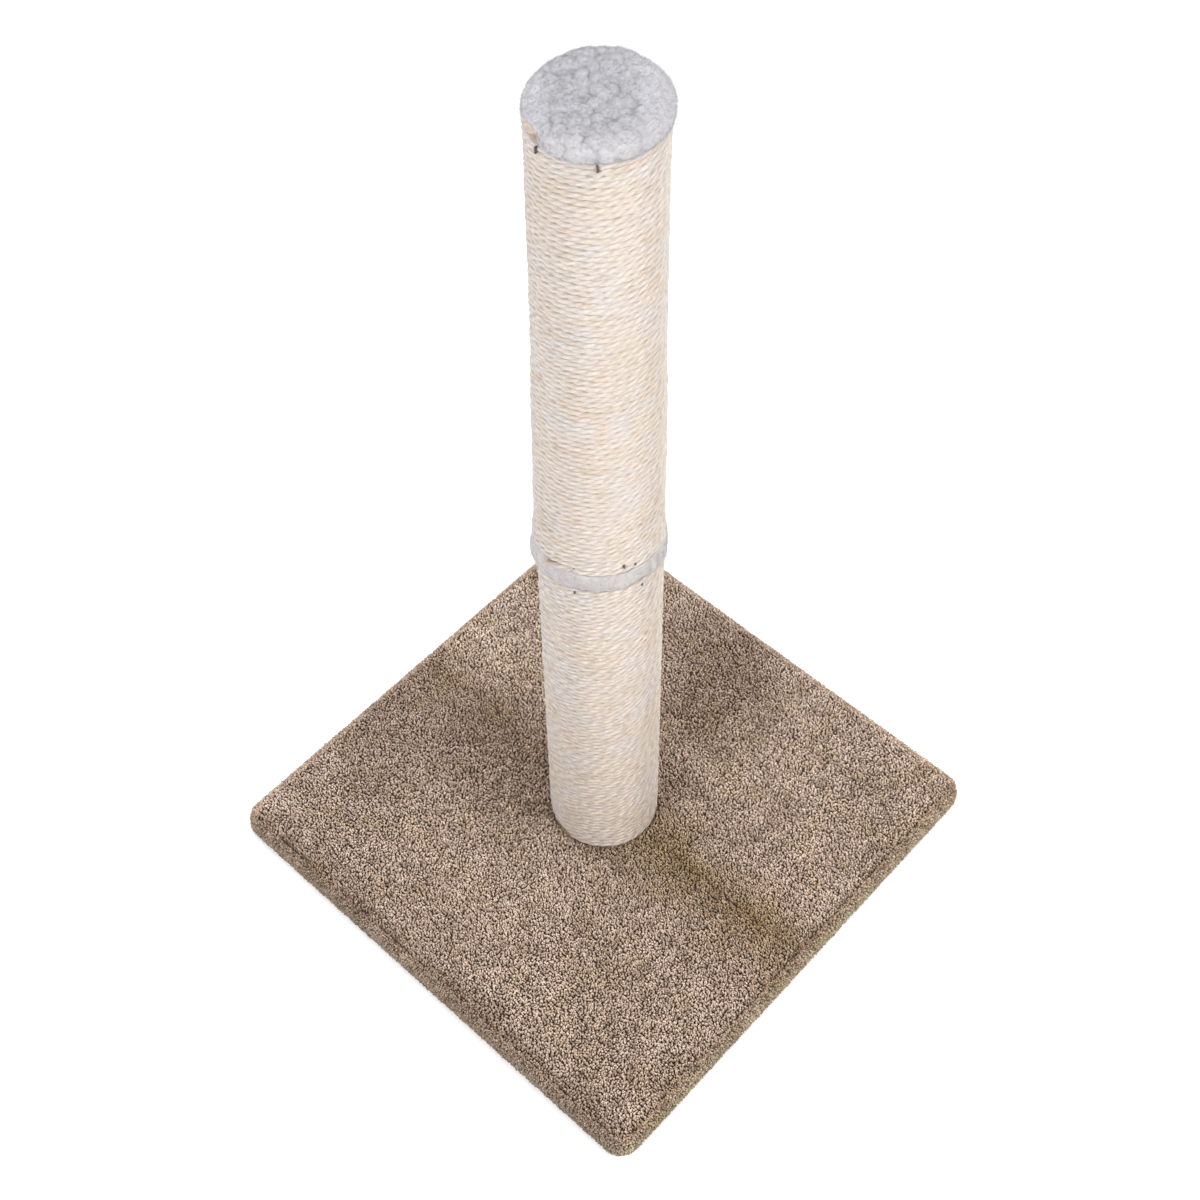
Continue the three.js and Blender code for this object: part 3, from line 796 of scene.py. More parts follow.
def fold_profile(inset_side, z_top, r_top, z_low, r_low, n=6):
    """(inset, z) down over the edge of the base: fold, side, fold under."""
    p = []
    for i in range(n + 1):
        a = math.pi / 2 * i / n
        p.append((inset_side + r_top * (1 - math.sin(a)), z_top - r_top * (1 - math.cos(a))))
    for i in range(n + 1):
        a = math.pi / 2 * i / n
        p.append((inset_side + r_low * (1 - math.cos(a)), z_low + r_low * (1 - math.sin(a))))
    return p


BACK_T = 1.2 * MM
HEM_ROWS = PILE + 4.5 * MM
Z_BACK = TOP - PILE
Z_HEM = HEM_PILE


def carpet_backing():
    st = stations()
    outer = fold_profile(PILE, Z_BACK, 2.6 * MM, Z_HEM, 2.0 * MM)
    inner = fold_profile(PILE + BACK_T, Z_BACK - BACK_T, 1.4 * MM, Z_HEM + 1.0 * MM, 0.9 * MM)
    rings = []

    def rect(inset, z):
        p, _ = outline(inset, st)
        return np.column_stack([p, np.full(len(p), z)])

    def disc_ring(share, inset, z):
        p, _ = outline(inset, st)
        a = np.arctan2(p[:, 1], p[:, 0])
        hole = np.column_stack([np.cos(a), np.sin(a)]) * 4.5 * MM
        q = hole + (p - hole) * share
        return np.column_stack([q, np.full(len(p), z)])

    n_top = 44
    for i in range(n_top):
        rings.append(disc_ring(i / n_top, outer[0][0], Z_BACK))
    for d, z in outer:
        rings.append(rect(d, z))
    for d in np.linspace(outer[-1][0], HEM, 10)[1:]:
        rings.append(rect(d, Z_HEM))
    for d in np.linspace(HEM, inner[-1][0], 10)[:-1]:
        rings.append(rect(d, Z_HEM + 1.0 * MM))
    for d, z in inner[::-1]:
        rings.append(rect(d, z))
    for i in range(n_top)[::-1]:
        rings.append(disc_ring(i / n_top, inner[0][0], Z_BACK - BACK_T))
    r = np.array(rings)
    n, m = r.shape[:2]
    v = r.reshape(-1, 3)
    v = v + np.column_stack([np.zeros(len(v)), np.zeros(len(v)), 0.05 * MM * noise(v / (4 * MM), 71)])
    return make_piece("carpet_backing", v, [rings_quads(n, m, closed_n=True)[:, ::-1]], MAT["backing"])


PILE_TONES = (1.15, 1.15, 1.20) * np.array([srgb(*c) for c in (
    (116, 96, 80), (149, 127, 108), (176, 154, 135), (200, 178, 158), (222, 203, 185))])
OLIVE = np.array([0.965, 0.95, 0.84])
PINK = np.array([1.015, 1.0, 1.03])


def pile_tone(pos, level, rng, seed):
    """Colour of each tuft at pos (m). level shifts it darker or lighter."""
    n = len(pos)
    wide = fbm(pos / (38 * MM), seed, 2)
    near = fbm(pos / (9 * MM), seed + 5, 2)
    v = 0.60 + 0.10 * wide + 0.18 * near + 0.20 * rng.normal(0, 1, n) + level
    v = np.clip(v, 0, 1) * (len(PILE_TONES) - 1)
    i = np.minimum(v.astype(int), len(PILE_TONES) - 2)
    f = (v - i)[:, None]
    c = PILE_TONES[i] * (1 - f) + PILE_TONES[i + 1] * f
    olive = smooth(fbm(pos / (17 * MM), seed + 9, 2) + 0.22 * rng.normal(0, 1, n), 0.0, 0.7)[:, None] * 0.8
    pink = smooth(fbm(pos / (15 * MM), seed + 13, 2) + 0.22 * rng.normal(0, 1, n), 0.0, 0.7)[:, None] * 0.7
    c = c * (1 - olive) + c * OLIVE * olive
    c = c * (1 - pink) + c * PINK * pink
    return c


def stitched(x0, x1, y0, y1, ax, ay, rng, jitter):
    """Tufts in the rows and columns they were stitched in, none quite in place."""
    gx, gy = np.meshgrid(np.arange(x0, x1, ax), np.arange(y0, y1, ay))
    p = np.column_stack([gx.ravel(), gy.ravel()])
    return p + rng.uniform(-jitter, jitter, p.shape) * (ax, ay)


def lean_field(pos, seed):
    """How the pile lies: wide sweeps, small clumps that hold together, and each tuft's own way."""
    wide = np.stack([fbm(pos / (70 * MM), seed, 2), fbm(pos / (70 * MM), seed + 3, 2)], 1)
    clump = np.stack([noise(pos / (4.4 * MM), seed + 6), noise(pos / (4.4 * MM), seed + 8)], 1)
    return wide * 0.22 + clump * 0.24


def inset_of(x, y):
    """Distance in from the outline of the base, and the outward direction there."""
    ax, ay = np.abs(x), np.abs(y)
    cx, cy = ax - (HALF - CORNER), ay - (HALF - CORNER)
    corner = (cx > 0) & (cy > 0)
    d = np.where(corner, CORNER - np.hypot(cx, cy), np.minimum(HALF - ax, HALF - ay))
    h = np.maximum(np.hypot(cx, cy), 1e-9)
    ox = np.where(corner, np.sign(x) * cx / h, np.where(ax > ay, np.sign(x), 0))
    oy = np.where(corner, np.sign(y) * cy / h, np.where(ax > ay, 0, np.sign(y)))
    return d, np.column_stack([ox, oy])


def front_edge_shade(d, out_dir):
    """Colour factor by distance in from the edge: painted shade that darkens and browns the two front edges."""
    at = np.array([0, 5, 6, 9.5, 11.5, 13.5, 16.5, 21, 27]) * MM
    left = np.interp(d, at, [0.64, 0.64, 0.68, 0.74, 0.72, 0.80, 0.88, 0.93, 1.0])
    right = np.interp(d, at, [0.75, 0.74, 0.74, 0.82, 0.98, 1.0, 1.0, 1.0, 1.0])
    brown = np.array([0.0, 0.4, 1.0])
    wl = smooth(-out_dir[:, 0], 0.5, 0.9)[:, None]
    wr = smooth(-out_dir[:, 1], 0.5, 0.9)[:, None]
    tint_l = (1 - 0.13 * brown[None] * smooth(-d, -19 * MM, -8 * MM)[:, None])
    tint_r = (1 - 0.15 * brown[None] * smooth(-d, -12 * MM, -7 * MM)[:, None])
    return (1 - wl * (1 - left[:, None] * tint_l)) * (1 - wr * (1 - right[:, None] * tint_r))


def parting(x, y, out_dir):
    """Where the pile parts along the fold: strength 0-1 along each side of the base."""
    s = np.where(np.abs(out_dir[:, 0]) > np.abs(out_dir[:, 1]), y, x)
    along = xyz(s, np.sign(out_dir[:, 0]) * 0.5, np.sign(out_dir[:, 1]) * 0.5)
    dash = smooth(noise(along / (5 * MM), 401) + 0.5 * noise(along / (17 * MM), 403), -0.12, 0.38)
    front_right = out_dir[:, 1] < -0.7
    front_left = out_dir[:, 0] < -0.7
    q = s / MM
    there_left = smooth(q, 22, 38) * smooth(-q, -86, -74) + smooth(q, 112, 126) * smooth(-q, -170, -155) + 0.42
    there_right = smooth(q, -45, -25) * 0.42 + 0.10
    strength = np.full(len(x), 0.15)
    strength = np.where(front_right, np.clip(there_right, 0, 1), strength)
    strength = np.where(front_left, np.clip(there_left, 0, 1), strength)
    return np.clip(dash * strength, 0, 1)


def carpet_pile():
    rng = np.random.default_rng(77)
    a = 1.66 * MM
    made = []
    p = stitched(-HALF, HALF, -HALF, HALF, a, a * 0.92, rng, 0.27)
    x, y = p[:, 0], p[:, 1]
    d, out_dir = inset_of(x, y)
    r = np.hypot(x, y)
    keep = (d > 5.4 * MM) & (r > 7 * MM)
    x, y, d, out_dir, r = x[keep], y[keep], d[keep], out_dir[keep], r[keep]
    n = len(x)
    pos = xyz(x, y, np.zeros(n))
    lean = lean_field(pos, 501) + rng.normal(0, 0.24, (n, 2))
    length = PILE * (1 + 0.10 * fbm(pos / (14 * MM), 521, 2) + 0.07 * rng.normal(0, 1, n)) + 0.35 * MM
    level = np.zeros(n)
    # the crease across the middle, where the cloth was folded: the pile there is shorter and leans apart, and its
    # colour carries painted shade, darker and browner along the crease
    cx = x - 0.4 * MM - 0.9 * MM * noise(xyz(y / (40 * MM), 0, 0), 530)
    how = np.where(y < 0, np.interp(-y, np.array([44, 60, 95, 140, 165, 192]) * MM, [0.55, 0.95, 1.12, 1.22, 1.05, 0.95]), 0.70 * smooth(y, 45 * MM, 60 * MM))
    how = how * (0.90 + 0.25 * noise(xyz(y / (18 * MM), 3, 0), 531))
    line = np.exp(-((cx / (1.9 * MM)) ** 2)) * how * smooth(noise(xyz(y / (6 * MM), 9, 0), 532), -0.2, 0.6)
    band = (0.86 * np.exp(-((cx / np.where(cx < 0, 30 * MM, 20 * MM)) ** 2)) + 0.22 * np.exp(-((cx / (7.0 * MM)) ** 2))) * how
    lean[:, 0] += np.sign(cx) * 0.16 * np.exp(-((cx / (5.0 * MM)) ** 2)) * how
    length *= 1 - 0.14 * line - 0.05 * band
    level -= 0.05 * line
    # the parting along the fold: shorter tufts leaning apart, their colour darkened as painted shade in the gap
    part = np.exp(-(((d - 7.6 * MM) / (1.6 * MM)) ** 2)) * parting(x, y, out_dir)
    side = np.where(d > 7.6 * MM, -1.0, 1.0)[:, None]
    lean += out_dir * side * 0.65 * part[:, None]
    length *= 1 - 0.40 * part
    level -= 0.26 * part
    # round the post the pile is pushed outwards, and under it pressed flat
    e = np.column_stack([x, y]) / np.maximum(r, 1e-6)[:, None]
    close = np.exp(-np.clip(r - ROPE_R, 0, None) / (2.2 * MM))
    under = r < ROPE_R + 0.6 * MM
    lean += e * 0.5 * (close * ~under)[:, None]
    # painted shade: the pile's colour darkens close round the foot of the post
    level -= 0.12 * np.exp(-np.clip(r - ROPE_R, 0, None) / (7 * MM))
    length = np.where(under, 1.35 * MM, length)
    lean[under] *= 0.2
    big = np.hypot(lean[:, 0], lean[:, 1])
    lean *= (np.minimum(big, 1.05) / np.maximum(big, 1e-6))[:, None]
    tone = pile_tone(pos, level, rng, 541)
    # painted shade where the pile parts along the fold
    tone = tone * (1 - 0.42 * part)[:, None]
    band = band * (0.86 + 0.28 * rng.random(n))
    # painted shade along the crease: the band's tufts are darkened and browned
    tone = tone * (1 - np.minimum(band, 1.25)[:, None] * (0.355, 0.415, 0.545))
    # painted shade darkens and browns the pile along the two front edges, and painted light makes it lighter behind the
    # post
    tone = tone * front_edge_shade(d, out_dir)
    tone = tone * (1 + 0.13 * np.exp(-(((x - 75 * MM) / (70 * MM)) ** 2) - ((y - 165 * MM) / (60 * MM)) ** 2))[:, None]
    # painted light and shade: paler and greyer at the right and back corners, darker at the back left, and painted
    # shadow of the post in patches beside it
    def light_and_shade_patch(cx0, cy0, w):
        return np.exp(-(((x - cx0 * MM) ** 2 + (y - cy0 * MM) ** 2) / (w * MM) ** 2))[:, None]
    tone = tone * (1 + light_and_shade_patch(158, -114, 62) * (0.05, 0.07, 0.10)) * (1 + light_and_shade_patch(72, 172, 46) * (0.0, 0.05, 0.09))
    tone = tone * (1 - light_and_shade_patch(-140, 126, 60) * (0.06, 0.06, 0.05)) * (1 - light_and_shade_patch(176, 42, 50) * (0.07, 0.08, 0.08))
    tone = tone * (1 - light_and_shade_patch(100, -14, 40) * (0.05, 0.06, 0.11)) * (1 - light_and_shade_patch(-5, 112, 40) * (0.05, 0.07, 0.05))
    # painted shade round the front of the foot: darker and browner there, with a darker ring just in front of the post
    foot_painted_shade = np.exp(-(((x + 6 * MM) / (34 * MM)) ** 2) - ((y + 66 * MM) / (30 * MM)) ** 2)[:, None]
    tone = tone * (1 - foot_painted_shade * (0.05, 0.06, 0.12))
    front = smooth(np.cos(np.arctan2(y, x) + math.radians(112)), 0.1, 0.9)
    ring = (np.exp(-(((r - ROPE_R - 5 * MM) / (10 * MM)) ** 2)) * front)[:, None]
    tone = tone * (1 - ring * (0.13, 0.155, 0.21))
    radius = a * 0.50 * (1 + 0.10 * rng.normal(0, 1, n)) * np.where(under, 0.9, 1)
    radius = np.clip(radius, 0.36 * a, 0.64 * a)
    root = xyz(x, y, np.full(n, Z_BACK - 0.25 * MM))
    normal = np.tile([0.0, 0, 1], (n, 1))
    lean3 = np.column_stack([lean, np.zeros(n)])
    phase = rng.uniform(0, TAU, n)
    tile = np.clip(((x + HALF) / (2 * HALF / 3)).astype(int), 0, 2) + 3 * np.clip(((y + HALF) / (2 * HALF / 3)).astype(int), 0, 2)
    for t in range(9):
        k = tile == t
        ob = tufts(f"carpet_pile_top_{t + 1}", root[k], normal[k], lean3[k], length[k], radius[k], tone[k], phase[k], MAT["pile"])
        made.append(ob)

    # over the edge: rows down the fold, the side and the fold under, then the hem
    path = fold_profile(PILE, Z_BACK, 2.6 * MM, Z_HEM, 2.0 * MM, 16)
    path = [(5.9 * MM + 0.4 * MM, Z_BACK)] + path + [(dd, Z_HEM) for dd in np.linspace(PILE + 2.0 * MM, HEM - 0.6 * MM, 30)[1:]]
    path = np.array(path)
    seg = np.hypot(*np.diff(path, axis=0).T)
    u = np.concatenate([[0], np.cumsum(seg)])
    turn = np.unwrap(np.arctan2(np.gradient(path[:, 0], u), -np.gradient(path[:, 1], u)))
    spread = u + 2.7 * MM * np.abs(turn - turn[0])
    hem_at = np.interp(HEM_ROWS, path[20:, 0], u[20:])
    first = np.interp(np.arange(np.interp(0.2 * MM, u, spread), np.interp(hem_at, u, spread), a * 0.86), spread, u)
    rows = np.concatenate([first, np.arange(hem_at + 1.2 * MM, u[-1] - 0.6 * MM, a * 1.30)])
    roots, normals, leans, lens, levels, where = [], [], [], [], [], []
    hem_from = np.interp(PILE + 2.0 * MM, path[20:, 0], u[20:])
    loose = 1.45                            # under the board the tufts stand further apart
    for i, uu in enumerate(rows):
        inset = np.interp(uu, u, path[:, 0])
        z = np.interp(uu, u, path[:, 1])
        i0 = np.interp(uu - 0.3 * MM, u, path[:, 0]), np.interp(uu - 0.3 * MM, u, path[:, 1])
        i1 = np.interp(uu + 0.3 * MM, u, path[:, 0]), np.interp(uu + 0.3 * MM, u, path[:, 1])
        t_in, t_z = i1[0] - i0[0], i1[1] - i0[1]
        ln = math.hypot(t_in, t_z)
        # outward of the path: top side faces up, the side faces out, the hem faces down
        n_out, n_z = -t_z / ln, -t_in / ln
        on_hem = uu > hem_from + 0.5 * MM
        half = HALF - inset
        rc = max(CORNER - inset, 0.0)
        straight = 2 * (half - rc)
        reach = 4 * straight + TAU * rc
        wide_a = a * (loose if uu > hem_at else 0.90)
        count = int(reach / wide_a)
        s = (np.arange(count) + 0.5 * (i % 2)) * reach / count
        s = (s + rng.uniform(-0.26, 0.26, count) * wide_a) % reach
        q = np.minimum((s / (reach / 4)).astype(int), 3)
        w = s - q * reach / 4
        a0 = q * math.pi / 2
        e = np.column_stack([np.cos(a0), np.sin(a0)])
        tt = np.column_stack([-np.sin(a0), np.cos(a0)])
        on_side = w < straight
        pt = e * half + tt * (w - straight / 2)[:, None]
        od = e.copy()
        if rc > 0:
            ang = a0 + (w - straight) / rc
            dd = np.column_stack([np.cos(ang), np.sin(ang)])
            corner = (e + tt) * (half - rc) + dd * rc
            pt = np.where(on_side[:, None], pt, corner)
            od = np.where(on_side[:, None], od, dd)
        if on_hem:
            # mitred corners: leave the joint open, and clear the staples
            ax = np.abs(pt)
            gap = np.abs(ax[:, 0] - ax[:, 1])
            ok = gap > 1.5 * MM * (inset > CORNER)
            line_up = np.abs(inset - 26 * MM) < 2.0 * MM
            if line_up:
                tpos = (pt * tt).sum(1)
                for c in (-150, -50, 50, 150):
                    ok &= np.abs(tpos - c * MM) > 6.2 * MM
            pt, od = pt[ok], od[ok]
        c = len(pt)
        pos3 = np.column_stack([pt, np.full(c, z)])
        nn = np.column_stack([od * n_out, np.full(c, n_z)])
        tan = np.column_stack([-od[:, 1], od[:, 0], np.zeros(c)])
        down = np.cross(tan, nn)
        f = lean_field(pos3, 601) + rng.normal(0, 0.22, (c, 2))
        if on_hem:
            lean_v = tan * f[:, :1] * 1.2 - np.column_stack([od, np.zeros(c)]) * (0.7 + 0.5 * f[:, 1:2])
            L = np.full(c, 1.25 * MM)
            lev = np.full(c, 0.02)
        else:
            # lower on the side the pile hangs a little
            lean_v = tan * f[:, :1] + down * f[:, 1:2]
            L = PILE * (1 + 0.08 * rng.normal(0, 1, c)) + 0.15 * MM
            under_fold = smooth(uu, hem_from - 4.0 * MM, hem_from)
            L = L * (1 - 0.45 * under_fold)
            par = parting(pt[:, 0], pt[:, 1], od) * math.exp(-(((inset - 6.6 * MM) / (1.2 * MM)) ** 2))
            L = L * (1 - 0.35 * par)
            # painted shade: darker where the pile parts and a little darker down the whole side
            lev = -0.26 * par - 0.05
        roots.append(pos3 - nn * 0.25 * MM)
        normals.append(nn)
        leans.append(lean_v)
        lens.append(L)
        levels.append(lev)
        where.append(np.column_stack([od, np.full(c, on_hem)]))
    root, normal, lean3 = map(np.concatenate, (roots, normals, leans))
    length, level, where = map(np.concatenate, (lens, levels, where))
    n = len(root)
    big = np.linalg.norm(lean3, axis=1)
    lean3 *= (np.minimum(big, 1.1) / np.maximum(big, 1e-6))[:, None]
    tone = pile_tone(root, level, rng, 541)
    # painted shade on the two front sides of the base: darkened and browned, the left one to about half
    front_right = smooth(-where[:, 1], 0.5, 0.9)[:, None] * (1 - where[:, 2:3])
    front_left = smooth(-where[:, 0], 0.5, 0.9)[:, None] * (1 - where[:, 2:3])
    low = smooth(TOP - root[:, 2], 2.0 * MM, 6.0 * MM)[:, None]
    tone = tone * (1 - front_right * low * (1 - np.array([0.72, 0.76, 0.66])))
    tone = tone * (1 - front_left * low * (1 - np.array([0.52, 0.52, 0.48])))
    inset, out2 = inset_of(root[:, 0], root[:, 1])
    tone = tone * (low + (1 - low) * front_edge_shade(inset, out2))
    radius = a * 0.53 * (1 + 0.09 * rng.normal(0, 1, n))
    radius = np.clip(radius, 0.36 * a, 0.64 * a)
    radius = np.where(where[:, 2] > 0, radius * 1.25, radius)
    # nothing below the floor
    phase = rng.uniform(0, TAU, n)
    side_no = ((np.degrees(np.arctan2(root[:, 1], root[:, 0])) + 45) // 90).astype(int) % 4
    for hem in (0, 1):
        for q in range(4):
            k = (where[:, 2] == hem) & (side_no == q)
            kind = "hem" if hem else "edge"
            ob = tufts(f"carpet_pile_{kind}_{q + 1}", root[k], normal[k], lean3[k], length[k], radius[k], tone[k], phase[k], MAT["pile"])
            co = np.empty(len(ob.data.vertices) * 3, np.float32)
            ob.data.vertices.foreach_get("co", co)
            co = co.reshape(-1, 3)
            co[:, 2] = np.maximum(co[:, 2], 0.0)
            ob.data.vertices.foreach_set("co", co.ravel())
            ob.data.update()
            made.append(ob)
    return made


backing = carpet_backing()
pile = carpet_pile()
finish_piece(backing, "carpet", "base_carpet")
for ob in pile:
    finish_piece(ob, "carpet", "base_carpet")


# ------------------------------------------------------------------ plush

def worley(p, seed):
    """Distances to the nearest and second nearest of points scattered one to a cell, and the nearest's number."""
    p = np.asarray(p, float) + 500.0
    cell = np.floor(p).astype(np.int64)
    best = np.full(len(p), 9.0)
    second = np.full(len(p), 9.0)
    who = np.zeros(len(p))
    for dx in (-1, 0, 1):
        for dy in (-1, 0, 1):
            for dz in (-1, 0, 1):
                c = cell + (dx, dy, dz)
                at = c + 0.5 + 0.8 * (np.stack([_hash(c[:, 0], c[:, 1], c[:, 2], seed + k) for k in range(3)], 1) - 0.5)
                dist = np.linalg.norm(at - p, axis=1)
                closer = dist < best
                second = np.where(closer, best, np.minimum(second, dist))
                who = np.where(closer, _hash(c[:, 0], c[:, 1], c[:, 2], seed + 9), who)
                best = np.where(closer, dist, best)
    return best, second, who


def profile_rings(points, step):
    """Points and sideways normals along a (radius, z) profile, no further apart than step."""
    points = np.array(points)
    out, nrm = [], []
    for (r0, z0), (r1, z1) in zip(points[:-1], points[1:]):
        k = max(1, int(math.ceil(math.hypot(r1 - r0, z1 - z0) / step)))
        for i in range(k):
            out.append((r0 + (r1 - r0) * i / k, z0 + (z1 - z0) * i / k))
    out.append(tuple(points[-1]))
    out = np.array(out)
    t = np.gradient(out, axis=0)
    t /= np.maximum(np.linalg.norm(t, axis=1, keepdims=True), 1e-12)
    nrm = np.column_stack([t[:, 1], -t[:, 0]])
    return out, nrm


def rounded(points, passes=3):
    """The same open line with its corners rounded off."""
    p = np.array(points, float)
    for _ in range(passes):
        q = [p[0]]
        for a, b in zip(p[:-1], p[1:]):
            q += [0.75 * a + 0.25 * b, 0.25 * a + 0.75 * b]
        q.append(p[-1])
        p = np.array(q)
    return p


def plush_colours(height, low, high, extra=None):
    f = np.clip(height, 0, 1)[:, None]
    c = low * (1 - f) + high * f
    return c if extra is None else c * extra[:, None]


def nap_fibres(name, surf, normal, colours, count, length, spread, drop, seed, material, segments=2, radius=0.06):
    rng = np.random.default_rng(seed)
    i = rng.integers(0, len(surf), count)
    root = surf[i] + rng.normal(0, 0.22 * MM, (count, 3)) - normal[i] * 0.25 * MM
    d = normal[i] + rng.normal(0, spread, (count, 3)) + np.array([0, 0, -1.0]) * drop
    L = rng.uniform(*length, count) * MM
    col = colours[i] * rng.uniform(0.90, 1.08, (count, 1))
    return fibres(name, root, d, L, rng.uniform(0.7, 1.3, count) * radius * MM, col, material, 0.45, seed + 1, segments)


def top_cap():
    rng = np.random.default_rng(900)
    z0, z1 = cap_lo.z, cap_hi.z
    rope_top = up_hi.z
    R = ROPE_R
    outer = rounded([
        (0.0, z1 - 0.9 * MM), (R - 8 * MM, z1 - 1.2 * MM), (R - 1.6 * MM, z1 - 3.2 * MM), (R + 0.6 * MM, z1 - 6.6 * MM),
        (R + 0.5 * MM, rope_top + 1.6 * MM), (R - 0.9 * MM, rope_top + 0.15 * MM),
    ])
    skin, nrm = profile_rings(outer, 0.62 * MM)
    nrm = -nrm * np.sign((-nrm * [0, 1])[0, 1] or 1)
    m = 400
    a = np.arange(m) / m * TAU
    ca, sa = np.cos(a), np.sin(a)
    # the outline isn't quite round: a blunt corner, and a fuller side
    shape = 1 + 0.006 * np.cos(3 * a + 1.1) + 0.004 * np.cos(5 * a + 2.0)
    def off(at, wide_cw, wide_ccw):
        g = (np.degrees(a) - at + 180) % 360 - 180
        return np.exp(-((g / np.where(g < 0, wide_cw, wide_ccw)) ** 2))
    shape += 0.012 * off(-45, 30, 40)
    flat_side = off(142, 43, 38)
    crest = (1.2 + 3.6 * off(22, 88, 52) - 0.8 * flat_side) * MM
    grid = np.empty((len(skin), m, 3))
    for i, (r, z) in enumerate(skin):
        up = smooth(z, rope_top + 0.5 * MM, rope_top + 5 * MM)
        k = 1 + (shape - 1) * smooth(r, 20 * MM, 40 * MM)
        rr = r * k - smooth(r, 10 * MM, 40 * MM) * (1.9 + 1.3 * up) * flat_side * MM
        grid[i] = np.column_stack([ca * rr, sa * rr, z + up * crest * (0.35 + 0.65 * smooth(r, 12 * MM, 36 * MM))])
    nn = np.stack([nrm[:, None, 0] * ca, nrm[:, None, 0] * sa, np.broadcast_to(nrm[:, None, 1], (len(skin), m))], -1)
    p = grid.reshape(-1, 3)
    q = nn.reshape(-1, 3)
    r = np.hypot(p[:, 0], p[:, 1])
    warp = np.stack([noise(p / (6 * MM), 911), noise(p / (6 * MM), 912), noise(p / (6 * MM), 913)], 1) * 1.3 * MM
    sample = (p + warp) * [1, 1, 0.8]
    f1, f2, who = worley(sample / (6.9 * MM), 905)
    g1, g2, _ = worley((p + warp * 0.6) / (3.1 * MM), 915)
    big = np.sqrt(np.clip(1 - (f1 / 0.78) ** 2, 0, 1))
    small = np.sqrt(np.clip(1 - (g1 / 0.80) ** 2, 0, 1))
    across = (p[:, 0] - p[:, 1]) / math.sqrt(2)
    sides = np.maximum(smooth(across, 19 * MM, 29 * MM), smooth(-across, 24 * MM, 33 * MM))
    brim = smooth(p[:, 2] * 0 + r, 39.5 * MM, 41.5 * MM)
    middle = 1 - 0.72 * np.maximum(sides, 0.6 * brim)
    rise = (2.0 * big * (0.75 + 0.5 * who) + 0.35 * small) * middle + 0.22 * fbm(p / (1.6 * MM), 921, 2)
    rise = rise - 1.15 * middle
    on_axis = smooth(r, 0, 0.3 * MM)
    p = p + q * (rise * MM)[:, None]
    # keep the brim clear of the last turn of rope
    seam = np.arange(len(p)) // m >= len(skin) - 1
    p[:, 2] = np.maximum(p[:, 2], rope_top + 0.05 * MM)
    # painted shade between the clumps: the colour is lighter on their crowns and darker in the gaps
    gap = smooth(f2 - f1, 0.0, 0.30)
    tint = 0.40 * gap + 0.50 * big + 0.1 * small
    low, high, rim_painted_light, front_painted_light = srgb(156, 155, 160), srgb(174, 173, 178), srgb(184, 183, 188), srgb(188, 186, 188)
    col = plush_colours(tint, low, high)
    # painted light: paler round the rim and on the two sides, paler still on the front and on the left side
    rim_light_weight = (np.maximum(sides, 0.35 * smooth(r, 33 * MM, 40 * MM)) * (0.85 + 0.15 * small))[:, None]
    front_light_weight = smooth(-(p[:, 0] + p[:, 1]) / np.maximum(r, 1e-6), 0.7, 1.3) * smooth(r, 26 * MM, 40 * MM) * (0.6 + 0.4 * big)
    col = col * (1 - rim_light_weight) + rim_painted_light * rim_light_weight
    col = col * (1 - front_light_weight[:, None]) + front_painted_light * front_light_weight[:, None]
    col = col * (1 + 0.07 * smooth((p[:, 1] - p[:, 0]) / np.maximum(r, 1e-6), 0.7, 1.35) * smooth(r, 22 * MM, 36 * MM))[:, None]
    inner = np.array([
        (SKIRT + MM, rope_top + 0.15 * MM), (SKIRT + MM, rope_top - 10 * MM), (SKIRT + MM, z0), (SKIRT, z0), (SKIRT, z0 + 10 * MM),
        (SKIRT, rope_top + 1.15 * MM), (20 * MM, rope_top + 1.2 * MM), (0.0, rope_top + 1.2 * MM)])
    rest = np.stack([np.column_stack([ca * rr, sa * rr, np.full(m, zz)]) for rr, zz in inner])
    verts = np.concatenate([p, rest.reshape(-1, 3)])
    n = len(skin) + len(inner)
    cols = np.concatenate([col, np.tile(low, (len(inner) * m, 1))])
    quads = rings_quads(n, m)
    cloth = make_piece("upper_cap_plush", verts, [quads], MAT["curly"], cols)
    weld(cloth)
    ok = (p[:, 2] > rope_top + 0.4 * MM)
    area_w = np.hypot(p[:, 0], p[:, 1])
    pick = rng.random(len(p)) < area_w / area_w.max()
    use = ok & pick
    count = 13500
    made = [cloth]
    nf = q / np.linalg.norm(q, axis=1, keepdims=True)
    for part in range(2):
        ob = nap_fibres(f"upper_cap_nap_{part + 1}", p[use], nf[use], col[use], count, (1.1, 2.6), 0.75, 0.05, 931 + part, MAT["plush_fibre"])
        made.append(ob)
    return made


def weld(ob):
    """Joins points that fell together, as on the axis of a turned shape, and faces it outwards."""
    import bmesh
    bm = bmesh.new()
    bm.from_mesh(ob.data)
    bmesh.ops.remove_doubles(bm, verts=bm.verts, dist=2e-6)
    bmesh.ops.dissolve_degenerate(bm, edges=bm.edges, dist=1e-7)
    bmesh.ops.recalc_face_normals(bm, faces=bm.faces)
    bm.to_mesh(ob.data)
    bm.free()
    ob.data.update()


